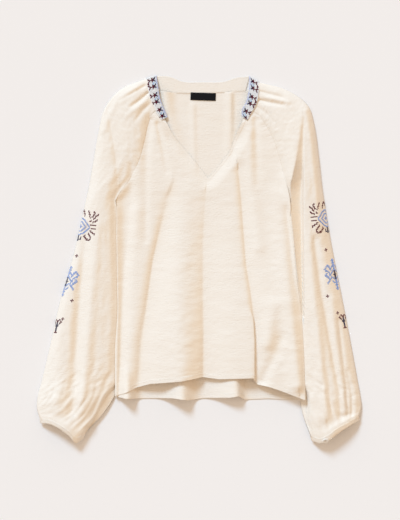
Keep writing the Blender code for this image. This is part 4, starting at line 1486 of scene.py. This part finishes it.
@dataclass
class Cuff:
    """Narrow doubled cuff, a flattened ring that carries on from the gathered sleeve end."""

    name: str
    node: str
    lines: tuple[tuple[Plan, Plan], ...]
    crown: float
    columns: int = 72
    shares: int = 11
    wall: float = 1.4
    cad_wall: float = 2.0
    edge_fold: float = 2.2
    lift: float = 4.0
    rest: float = 8.0
    drop: float = 3.0
    slack: float = 1.6
    slack_from: float = 0.45
    slack_run: float = 0.25
    drop_loss: float = 0.5
    swell: float = 0.35
    pucker: Relief = Relief(0.3, (5.0, 30.0), 12)
    pucker_turn: float = 40.0
    depth: float = 13.0
    open: float = 1.2
    outer_round: float = 15.0
    flat: Pair = (0.21, 0.013)

    def top(self, run: np.ndarray, total: float, share: float) -> np.ndarray:
        """Height of the upper side, by the distance along the cuff and the share of its depth.

        Args:
            run: Distances along the cuff.
            total: Its whole length.
            share: Share of the way from the seam to the edge.

        Returns:
            The heights.
        """
        low = self.cad_wall / 2 + self.lift
        inset = self.edge_fold + self.cad_wall / 2
        s = run / total
        outer = ease((s - self.slack_from) / self.slack_run)
        height = self.rest + self.crown * 4 * s * (1 - s) - self.slack * outer
        rounding = round_edge(np.minimum(run, total - run) + inset, self.outer_round)
        drop = self.drop * share * (1 - self.drop_loss * outer)
        return low + self.cad_wall + self.open + (height - low - drop) * rounding

    def seam_height(self, s: np.ndarray) -> np.ndarray:
        """Height at the sleeve seam for shares of its width."""
        total = run_length(spread([row[0] for row in self.lines], self.columns))[-1]
        return self.top(s * total, total, 0.0)

    def build(self) -> bpy.types.Object:
        """Builds and dresses the cuff with its edge stitching.

        Returns:
            The new object.
        """
        low = self.cad_wall / 2 + self.lift
        inset = self.edge_fold + self.cad_wall / 2
        seam, edge = (spread(points, self.columns) for points in zip(*self.lines))
        rows = []
        for share in np.linspace(0.0, 1.0, self.shares):
            line = seam * (1 - share) + edge * share
            run = run_length(line)
            top = self.top(run, run[-1], share) + self.swell * np.sin(np.pi * share)
            turned = np.full(len(run), self.pucker_turn * share)
            top += self.pucker.at(run, turned) * (1 - 0.5 * share)
            inward = (line[1] - line[0]) / np.linalg.norm(line[1] - line[0]) * inset
            outward = (line[-1] - line[-2]) / np.linalg.norm(line[-1] - line[-2]) * inset
            squeeze = np.clip(1 - run / (3 * inset), 0, 1)[:, None] * inward
            squeeze = squeeze - np.clip(1 - (run[-1] - run) / (3 * inset), 0, 1)[:, None] * outward
            pinched = line + squeeze
            upper = np.column_stack((pinched, top))
            lower = np.column_stack((pinched, np.full(self.columns, low)))[::-1]
            far = np.array([[*line[-1], (low + top[-1]) / 2]])
            near = np.array([[*line[0], (low + top[0]) / 2]])
            rows.append(np.concatenate((near, upper, far, lower, near)))
        points = np.array(rows)
        across = np.array([run_length(row) for row in points])
        along = np.linspace(0.0, self.depth, self.shares)[:, None] + np.zeros(points.shape[:2])
        grid = ClothGrid(points, np.dstack((across, along)), 0)
        made = mesh_object(self.name, points.reshape(-1, 3), grid.faces, CREPE, grid.flat.reshape(-1, 2))
        clean_loose(made)
        give_wall(made, self.wall)
        dress(made, "crepe", self.node)
        seams = Stitches(f"{self.name}_stitching", "crepe", *RUNNING)
        normals = grid.normals()
        raised = grid.points + normals * self.wall / 2
        for row in (2, self.shares - 3):
            seams.seam(raised[row, 2: self.columns], normals[row, 2: self.columns], SEWING, 2.8)
        seams.build()
        return made


@dataclass
class Sleeve:
    """Balloon sleeve: open over the raglan seams, a closed flattened tube from underarm to cuff.

    Where a field is a pair, its values are for the left and the right sleeve.
    """

    name: str
    node: str
    side: Side
    stations: tuple[Station, ...]
    cuff: Cuff
    folds: tuple[Fold, ...]
    motifs: tuple[Motif, ...]
    layout: Layout
    rows: int = 250
    top_columns: int = 66
    under_columns: int = 26
    cloth_wall: float = 0.6
    edge_fold: float = 2.2
    tube_low: float = 1.6
    outer_round: float = 15.0
    skews: Pair = (1.0, 0.8)
    seam_gaps: Pair = (-0.3, 0.45)
    seam_rises: Pair = (3.0, 4.0)
    runs: Pair = (14.0, 3.0)
    late_runs: Pair = (7.0, 7.0)
    cuff_lift: float = 4.0
    cuff_tuck: float = 2.5
    hidden: float = 4.0
    floor_gap: float = 0.5
    neck_run: float = 0.03
    neck_least: float = 2.0
    neck_more: float = 5.0
    neck_way: Pair = (0.9, 0.35)
    neck_height: float = 7.2
    neck_fade: float = 0.05
    length: float = 720.0
    ripples: tuple[Relief, ...] = (Relief(0.45, (10.0, 26.0), 5), Relief(0.3, (5.0, 9.0), 6))
    gathers: tuple[Relief, ...] = (Relief(1.4, (4.6, 60.0), 8), Relief(0.84, (8.0, 90.0), 10))
    gathered_from: float = 0.87
    crumple: Relief = Relief(1.0, (9.0, 5.5), 14)
    crumple_least: float = 0.2
    crumple_more: float = 0.7
    crumple_turn: Pair = (0.8, 0.6)
    crumpled_from: float = 0.80
    opens_from: float = 0.33
    late_from: float = 0.90
    late_run: float = 0.04
    late_slope: float = 0.3
    late_rise: float = 5.5
    join_from: float = 0.984
    join_run: float = 0.014
    join_over: float = 0.2
    join_sink: float = 0.9
    least_open: float = 0.35
    brink_drop: float = 1.2
    hollow_clear: float = 3.0
    hollow_slope: float = 0.55
    hollow_floor: float = 0.85
    stitch: Pair = (1.9, 0.36)
    flat: Pair = (0.34, 0.70)

    def neck_tuck(self, passed: float, s: np.ndarray) -> np.ndarray:
        """Shift that tucks the first rows under the neck band.

        Args:
            passed: Share of the sleeve's length.
            s: Shares of its width.

        Returns:
            One plan shift for each share.
        """
        amount = (1 - ease(passed / self.neck_run)) * (self.neck_least + self.neck_more * (1 - s))
        return amount[:, None] * np.array((-self.side.value * self.neck_way[0], self.neck_way[1]))

    def relief(self, passed: float, from_in: np.ndarray) -> np.ndarray:
        """Ripples of the sleeve, and the gathers and crumples above its cuff.

        Args:
            passed: Share of the sleeve's length.
            from_in: Distances from the inner line.

        Returns:
            The heights that they add.
        """
        down = np.full(len(from_in), passed * self.length)
        height = sum(ripple.at(from_in, down) for ripple in self.ripples)
        gathered = ease((passed - self.gathered_from) / 0.10)
        height += gathered * sum(gather.at(from_in, down) for gather in self.gathers)
        crumpled = self.crumple_least + self.crumple_more * ease((passed - self.crumpled_from) / 0.12)
        cos, sin = self.crumple_turn
        return height + crumpled * self.crumple.at(cos * from_in + sin * down, cos * down - sin * from_in)

    def hollow(self, x: np.ndarray, y: np.ndarray, height: np.ndarray, opening: float) -> np.ndarray:
        """Sinks the long hollow beside the body, which falls from its sharp edge towards a ridge.

        Args:
            x: Plan x along one crosswise line.
            y: Plan y along it.
            height: Heights without the hollow.
            opening: 1 above the underarm, and 0 below it, where the body covers the hollow's edge.

        Returns:
            The heights with the hollow.
        """
        west = np.interp(y, *zip(*HOLLOW_EDGE))
        width = np.maximum(HOLLOW_RIDGE - west, 0.01)
        u = np.clip((x - west) / width, 0.0, 1.0)
        brink = self.layout.side_edges[1] - self.brink_drop
        brink += opening * (float(np.interp(west.mean(), x, height)) - brink)
        depth = np.minimum(brink - self.hollow_clear, self.hollow_slope * width)
        sunk = brink - depth * (1 - (1 - np.clip(u / self.hollow_floor, 0.0, 1.0)) ** 1.5)
        share = ease((x - west) / 1.5) * (1 - ease((u - 0.8) / 0.2)) * ease(width / 6.0)
        return height * (1 - share) + np.minimum(sunk, height) * share

    def top_heights(self, passed: float, plan: np.ndarray, s: np.ndarray, span: float, row: np.ndarray,
                    low: float) -> np.ndarray:
        """Heights of the upper side along one crosswise line.

        Args:
            passed: Share of the sleeve's length.
            plan: Plan points from the inner line to the outer fold.
            s: Their shares of the width.
            span: The width.
            row: Values of the sleeve's table at this line.
            low: Height of the under side.

        Returns:
            The heights.
        """
        layout, right = self.layout, self.side is Side.RIGHT
        margin, crown = row[6], row[7]
        x, y = plan[:, 0], plan[:, 1]
        from_in, from_out = s * span, (1 - s) * span
        opening = 1.0 - ease((passed - self.opens_from) / (layout.underarm - self.opens_from))
        across = s ** self.skews[right]
        height = layout.rest + folds_height(self.folds, x, y) + crown * 4 * across * (1 - across)
        height += opening * folds_height(FRONT_FOLDS, x, y)
        height += self.relief(passed, from_in)
        if right:
            height = self.hollow(x, y, height, opening)
        strip = low + self.tube_low
        if passed <= layout.underarm:
            edge = layout.side_edges[right]
            soft = 1 - np.sin(np.clip(from_in / self.runs[right], 0, 1) * np.pi / 2)
            z = height + (1 - opening) * soft * (edge - height)
            keep = 1 - ease(passed / self.neck_fade)
            z = z * (1 - keep) + np.minimum(z, self.neck_height) * keep
        else:
            late = ease((passed - self.late_from) / self.late_run)
            body = max(self.side.value * (layout.side_x(np.array([y[0]]), self.side)[0] - x[0]), 0.0)
            under = body * (1 - late) + margin * late
            away = from_in - under
            brink = layout.side_edges[right] - self.seam_gaps[right]
            seam_z = strip + (brink - strip) * ease((away + self.seam_rises[right]) / 4.0) * (1 - late)
            seam_z += late * np.minimum(self.late_slope * from_in, self.late_rise) * (not right)
            run = self.runs[right] * (1 - late) + self.late_runs[right] * late
            z = seam_z + (height - seam_z) * np.sin(np.clip((away + 0.5) / run, 0, 1) * np.pi / 2)
        z = strip + np.maximum(z - strip, self.least_open) * round_edge(from_out, self.outer_round)
        join = ease((passed - self.join_from) / self.join_run)
        seam_height = self.cuff.seam_height(s) + self.join_over - self.join_sink * (passed == 1.0)
        return z * (1 - join) + seam_height * join

    def build(self) -> bpy.types.Object:
        """Builds and dresses the sleeve and its embroidery.

        Returns:
            The new object.
        """
        layout, wall = self.layout, self.cloth_wall
        t = np.linspace(0.0, 1.0, self.rows + 1)
        table = [(*row.outer, *row.inner, *row.back, row.margin, row.crown) for row in self.stations]
        lines = curve([row.t for row in self.stations], table, t)
        closed_from = int(np.searchsorted(t, layout.underarm))
        seam = spread([row[0] for row in self.cuff.lines], self.top_columns + 1)
        way = np.mean([np.subtract(*row[::-1]) for row in self.cuff.lines], axis=0)
        way /= np.linalg.norm(way)
        points, flat, edge = [], [], []
        length = 0.0
        for r, (passed, row) in enumerate(zip(t, lines)):
            hidden = ease((passed - layout.underarm) / 0.03) * (1 - ease((passed - 0.84) / 0.08))
            hidden *= -self.side.value * self.hidden
            outer, inner, back = row[0:2], row[2:4] + (hidden, 0), row[4:6] + (hidden, 0)
            closed = r >= closed_from
            low = wall / 2 + self.floor_gap + self.cuff_lift * ease((passed - 0.93) / 0.07)
            end = ease((passed - self.late_from) / (1.0 - self.late_from))
            span = float(np.linalg.norm(outer - inner))
            fold = self.edge_fold / span
            s = np.concatenate(([0.0], np.linspace(fold, 1 - fold, self.top_columns)))
            top = inner * (1 - s[:, None]) + outer * s[:, None] + end * bow_at(seam, s)
            top += self.neck_tuck(passed, s) + way * self.cuff_tuck * (r == self.rows)
            z = self.top_heights(passed, top, s, span, row, low)
            if closed:
                covered = self.side.value * (layout.side_x(top[:1, 1], self.side)[0] - top[0, 0])
                folded = low + self.tube_low / 2
                z[0] = folded + (z[1] - folded) * (1 - ease(covered / 3.0))
            else:
                edge.append((passed, z[0]))
            upper = np.column_stack((top, z))
            turn = np.array([[*(outer + end * bow_at(seam, np.array([1.0]))[0]), low + self.tube_low / 2]])
            s = np.linspace(1 - fold, 0.0, self.under_columns + 1)
            if closed:
                s = np.concatenate((np.linspace(1 - fold, fold, self.under_columns), [0.0]))
            under = back * (1 - s[:, None]) + outer * s[:, None] + end * bow_at(seam, s)
            lower = np.column_stack((under, np.full(len(s), low)))
            if closed:
                lower[-1] = upper[0]
            ring = np.concatenate((upper, turn, lower))
            points.append(ring)
            if r:
                length += np.linalg.norm(ring[len(upper)] - points[-2][len(upper)])
            across = run_length(ring)
            flat.append(np.column_stack((across - across[len(upper)], np.full(len(ring), length))))
        self.seam = np.array(edge)
        self.grid = ClothGrid(np.array(points), np.array(flat), closed_from)
        made = mesh_object(self.name, self.grid.points.reshape(-1, 3), self.grid.faces, CREPE,
                           self.grid.flat.reshape(-1, 2))
        clean_loose(made)
        give_wall(made, wall)
        dress(made, "crepe", self.node)
        0.74 * self.flat[0] * self.flat[1]
        self.embroider()
        return made

    def embroider(self) -> None:
        """Works the motifs on both sides of the outer fold."""
        stitches = Stitches(f"{self.name}_embroidery", "crepe", *self.stitch)
        fold_y = self.grid.points[:, self.top_columns + 1, 1]
        for motif in self.motifs:
            v = np.interp(-motif.y, -fold_y, self.grid.flat[:, 0, 1])
            cell = motif.chart.cell
            if motif.chart.mirrored:
                motif.chart.work(stitches, self.grid, (-motif.from_fold, v))
                continue
            for turn in ((-1, 1) if motif.pair else (-1,)):
                u = turn * motif.from_fold - 1.5 * cell
                motif.chart.work(stitches, self.grid, (u, v))
        stitches.build()


@dataclass(frozen=True)
class BandRow:
    """Crosswise line of a front neck band: free edge towards the neck, seam edge, height."""

    free: Plan
    seam: Plan
    height: float


BAND_LEFT = (
    BandRow((-82.5, 346.8), (-102, 340.5), 3.4),
    BandRow((-79.5, 327), (-98.5, 321.5), 7.4),
    BandRow((-76.3, 306), (-93.8, 302.0), 9.0),
    BandRow((-71, 290), (-86.5, 286.0), 9.0),
    BandRow((-64.0, 274), (-79.5, 270.0), 8.8),
    BandRow((-61.5, 267.5), (-73.5, 262.0), 8.2),
)
BAND_RIGHT = (
    BandRow((93, 346.0), (112.0, 334.0), 3.4),
    BandRow((93.8, 329), (111.8, 317.0), 7.4),
    BandRow((91.6, 313), (109.8, 301.0), 9.0),
    BandRow((87.0, 295), (104.5, 286.5), 9.0),
    BandRow((79.5, 281), (96.0, 273.0), 8.8),
    BandRow((79.5, 269.0), (91.0, 261.0), 8.2),
)


@dataclass
class FrontBand:
    """Embroidered front neck band: a doubled strip from the shoulder fold to the top of the V."""

    name: str
    node: str
    table: tuple[BandRow, ...]
    rows: int = 70
    columns: int = 14
    wall: float = 1.6
    crest: float = 0.8
    stitch: Pair = (1.45, 0.26)
    first_cell: Plan = (0.2, 0.4)
    flat: Pair = (0.02, 0.088)

    def build(self) -> bpy.types.Object:
        """Builds and dresses the band and its cross stitch.

        Returns:
            The new object.
        """
        free, seam = (spread([getattr(row, key) for row in self.table], self.rows)
                      for key in ("free", "seam"))
        share = np.linspace(0.0, 1.0, len(self.table))
        height = curve(share, [(row.height,) for row in self.table], np.linspace(0.0, 1.0, self.rows))
        across = np.linspace(0.0, 1.0, self.columns)
        plan = free[:, None] * (1 - across[None, :, None]) + seam[:, None] * across[None, :, None]
        z = height + self.crest * np.sin(np.pi * across)[None]
        widths = np.linalg.norm(free - seam, axis=1)
        along = run_length((free + seam) / 2)
        flat = np.dstack((widths[:, None] * across[None], along[:, None] + np.zeros((1, self.columns))))
        grid = ClothGrid(np.dstack((plan, z)), flat)
        made = mesh_object(self.name, grid.points.reshape(-1, 3), grid.faces, BAND_CLOTH,
                           flat.reshape(-1, 2))
        give_wall(made, self.wall)
        dress(made, "embroidered_band", self.node)
        stitches = Stitches(f"{self.name}_embroidery", "embroidered_band", *self.stitch)
        raised = ClothGrid(grid.points + grid.normals() * self.wall / 2, flat)
        BAND_CHART.work(stitches, raised, self.first_cell, lambda v: np.interp(v, along, widths))
        stitches.build()
        return made


@dataclass
class BackBand:
    """Back neck band, its inner face up, flat on the surface behind the neck."""

    layout: Layout
    top: tuple[Plan, ...] = ((-84, 346.5), (-55, 344), (-36, 336), (6, 334), (49, 336), (66, 342),
                             (94, 345.5))
    ends: Pair = (-74.8, 86.8)
    count: int = 80
    columns: int = 12
    wall: float = 1.0
    lift: float = 0.35
    ripple: Relief = Relief(0.2, (9.0, 14.0), 21)
    flat: Pair = (0.17, 0.024)

    def build(self) -> bpy.types.Object:
        """Builds and dresses the band with its seam stitching.

        Returns:
            The new object.
        """
        seam_x = np.linspace(*self.ends, self.count)
        seam = np.column_stack((seam_x, np.interp(seam_x, *zip(*self.layout.back_neck)) - 1.0))
        across = np.linspace(0.0, 1.0, self.columns)[None, :, None]
        plan = spread(self.top, self.count)[:, None] * (1 - across) + seam[:, None] * across
        height = self.wall / 2 + self.lift + self.ripple.at(plan[..., 0], plan[..., 1])
        grid = ClothGrid(np.dstack((plan, height)), plan)
        made = mesh_object("neckband_inside", grid.points.reshape(-1, 3), grid.faces, CREPE,
                           plan.reshape(-1, 2))
        give_wall(made, self.wall)
        dress(made, "crepe", "neckband_back")
        seams = Stitches("neckband_stitching", "crepe", *RUNNING)
        normals = grid.normals()
        raised = grid.points + normals * self.wall / 2
        for column in (1, self.columns - 2):
            seams.seam(raised[:, column], normals[:, column], SEWING)
        seams.build()
        return made


@dataclass
class Label:
    """Bare black woven label, sewn on by its short ends."""

    centre: Plan = (6, 306.5)
    size: Pair = (48, 14.5)
    turn: float = -0.035
    base: float = 1.5
    bow: float = 0.35
    ripple: float = 0.12
    wall: float = 0.5
    columns: int = 33
    stitch: Pair = (0.4, 0.25)
    flat: Pair = (0.048, 0.0145)

    def build(self) -> bpy.types.Object:
        """Builds and dresses the label and its thread.

        Returns:
            The new object.
        """
        u, v = np.meshgrid(np.linspace(-0.5, 0.5, self.columns), np.linspace(-0.5, 0.5, 11))
        x, y = u * self.size[0], v * self.size[1]
        turned_x = x * np.cos(self.turn) - y * np.sin(self.turn)
        turned_y = x * np.sin(self.turn) + y * np.cos(self.turn)
        height = self.base + self.bow * np.cos(np.pi * u) + self.ripple * np.sin(9.0 * u) * np.cos(2.0 * v)
        points = np.dstack((self.centre[0] + turned_x, self.centre[1] + turned_y, height))
        grid = ClothGrid(points, np.dstack((x, y)))
        made = mesh_object("woven_label", points.reshape(-1, 3), grid.faces, LabelFinish().material(),
                           grid.flat.reshape(-1, 2))
        give_wall(made, self.wall)
        dress(made, "woven_label", "label")
        seams = Stitches("label_stitching", "woven_label", *self.stitch)
        normals = grid.normals()
        raised = points + normals * self.wall / 2
        for column in (1, self.columns - 2):
            seams.seam(raised[:, column], normals[:, column], LABEL_THREAD, 1.8)
        seams.build()
        return made


@dataclass
class Button:
    """Small dished cuff button with four holes and its thread, seated where the CAD button is."""

    name: str
    node: str
    radius: float = 6.0
    thick: float = 2.4
    dish: float = 0.65
    sides: int = 48
    hole_at: float = 1.3
    hole_radius: float = 0.7
    hole_depth: float = 1.2
    stitch: tuple[float, float, float] = (0.9, 0.5, 0.9)

    def frame(self) -> tuple[np.ndarray, np.ndarray]:
        """Centre of the CAD button in mm, and its axes as rows with the outward one last.

        Returns:
            The centre and the axes.
        """
        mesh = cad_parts[self.node].data
        points = np.array([vertex.co[:] for vertex in mesh.vertices]) / MM
        centre = points.mean(axis=0)
        _, _, axes = np.linalg.svd(points - centre)
        out = 1.0 if self.node == "button_right" else -1.0
        if axes[2][2] * out < 0:
            axes[2] = -axes[2]
        axes[1] = np.cross(axes[2], axes[0])
        return centre, axes

    def build(self) -> bpy.types.Object:
        """Builds and dresses the button and its thread.

        Returns:
            The new object.
        """
        centre, axes = self.frame()
        rim = ((0.8, 0.0), (0.93, 0.08), (1.0, 0.4), (0.99, 0.66), (0.94, 0.88), (0.86, 1.0), (0.76, 0.98),
               (0.68, 0.86), (0.6, 0.72), (0.5, self.dish))
        share, level = np.array([*rim, *((r, self.dish) for r in np.linspace(0.47, 0.02, 16))]).T[..., None]
        turn = np.linspace(0, 2 * np.pi, self.sides, endpoint=False)
        x, y = share * self.radius * np.cos(turn), share * self.radius * np.sin(turn)
        holes = [(self.hole_at * a, self.hole_at * b) for a, b in ((1, 1), (-1, 1), (-1, -1), (1, -1))]
        away = np.min([np.hypot(x - a, y - b) for a, b in holes], axis=0) / self.hole_radius
        z = (level - 0.5) * self.thick - self.hole_depth * (1 - ease((away - 0.7) / 0.5))
        index = np.arange(z.size).reshape(z.shape)
        beside = np.roll(index, -1, axis=1)
        quads = np.stack((index[:-1], beside[:-1], beside[1:], index[1:]), axis=-1).reshape(-1, 4)
        faces = [*quads.tolist(), index[0, ::-1].tolist(), index[-1].tolist()]
        made = mesh_object(self.name, self.placed(np.dstack((x, y, z)).reshape(-1, 3), centre, axes), faces,
                           ButtonFinish().material())
        dress(made, "button_shell", self.node)
        thread = Stitches(f"{self.name}_thread", "button_shell", *self.stitch)
        height = (self.dish - 0.5) * self.thick
        for first, last in ((0, 2), (1, 3)):
            ends = self.placed([(*holes[first], height), (*holes[last], height)], centre, axes)
            thread.add(ends[:1], ends[1:], axes[2][None], SEWING)
        thread.build()
        return made

    @staticmethod
    def placed(points: Any, centre: np.ndarray, axes: np.ndarray) -> np.ndarray:
        """Points of the button moved to its seat."""
        return np.asarray(points) @ axes + centre


@dataclass
class Studio:
    """Pale floor, soft cool key light from the upper left, warm fill and a camera straight above."""

    pixel: float = 1.9
    frame_pixels: Pair = (400, 520)
    origin_pixel: Plan = (200, 258)
    lens: float = 200.0
    sensor: float = 36.0
    sun_turn: Plan = (0.447, -0.894)
    sun_height: float = 37.0
    sun_power: float = 2.56
    sun_spread: float = 18.0
    sun_colour: Colour = (0.51, 0.755, 1.0)
    fill: Colour = (0.739, 0.604, 0.478)
    floor_reach: float = 6000.0
    floor_drop: float = 0.02

    def build(self) -> None:
        """Builds the floor, the lights and the camera."""
        corners = np.array([(x * self.floor_reach, y * self.floor_reach, -self.floor_drop)
                            for x, y in ((-1, -1), (1, -1), (1, 1), (-1, 1))])
        floor = mesh_object("floor", corners, [(0, 1, 2, 3)], FloorFinish().material())
        sun = bpy.data.lights.new("key", "SUN")
        sun.energy, sun.angle, sun.color = self.sun_power, np.radians(self.sun_spread), self.sun_colour
        key = bpy.data.objects.new("key", sun)
        level = np.cos(np.radians(self.sun_height))
        way = Vector((self.sun_turn[0] * level, self.sun_turn[1] * level,
                      -np.sin(np.radians(self.sun_height))))
        key.rotation_mode = "QUATERNION"
        key.rotation_quaternion = way.to_track_quat("-Z", "Y")
        bpy.context.collection.objects.link(key)
        world = bpy.data.worlds.new("fill")
        world.use_nodes = True
        background = world.node_tree.nodes["Background"]
        background.inputs["Color"].default_value = (*self.fill, 1.0)
        background.inputs["Strength"].default_value = 1.0
        scene = bpy.context.scene
        scene.world = world
        scene.view_settings.view_transform = "Standard"
        camera = bpy.data.cameras.new("camera")
        camera.lens, camera.sensor_width = self.lens, self.sensor
        camera.clip_end = 100.0
        above = bpy.data.objects.new("camera", camera)
        tall = self.frame_pixels[1] * self.pixel * MM
        above.location = ((self.frame_pixels[0] / 2 - self.origin_pixel[0]) * self.pixel * MM,
                          (self.origin_pixel[1] - self.frame_pixels[1] / 2) * self.pixel * MM,
                          tall * self.lens / self.sensor)
        bpy.context.collection.objects.link(above)
        scene.camera = above


def main() -> None:
    """Builds the studio and every piece of the blouse."""
    logging.basicConfig(level=logging.INFO, format="%(message)s")
    layout = Layout()
    Studio().build()
    BackPanel(layout).build()
    cuffs = {Side.LEFT: Cuff("left_cuff", "cuff_left", CUFF_LEFT, SLEEVE_LEFT[-1].crown),
             Side.RIGHT: Cuff("right_cuff", "cuff_right", CUFF_RIGHT, SLEEVE_RIGHT[-1].crown)}
    sleeves = {
        Side.LEFT: Sleeve("left_sleeve", "sleeve_left", Side.LEFT, SLEEVE_LEFT, cuffs[Side.LEFT],
                          LEFT_FOLDS, LEFT_MOTIFS, layout),
        Side.RIGHT: Sleeve("right_sleeve", "sleeve_right", Side.RIGHT, SLEEVE_RIGHT, cuffs[Side.RIGHT],
                           RIGHT_FOLDS, RIGHT_MOTIFS, layout),
    }
    for piece in (*sleeves.values(), *cuffs.values()):
        piece.build()
    FrontPanel(layout, {side: sleeve.seam for side, sleeve in sleeves.items()}).build()
    FrontBand("left_band", "neckband_left", BAND_LEFT).build()
    FrontBand("right_band", "neckband_right", BAND_RIGHT).build()
    BackBand(layout).build()
    Label().build()
    Button("left_button", "button_left").build()
    Button("right_button", "button_right").build()


if __name__ == "__main__":
    main()
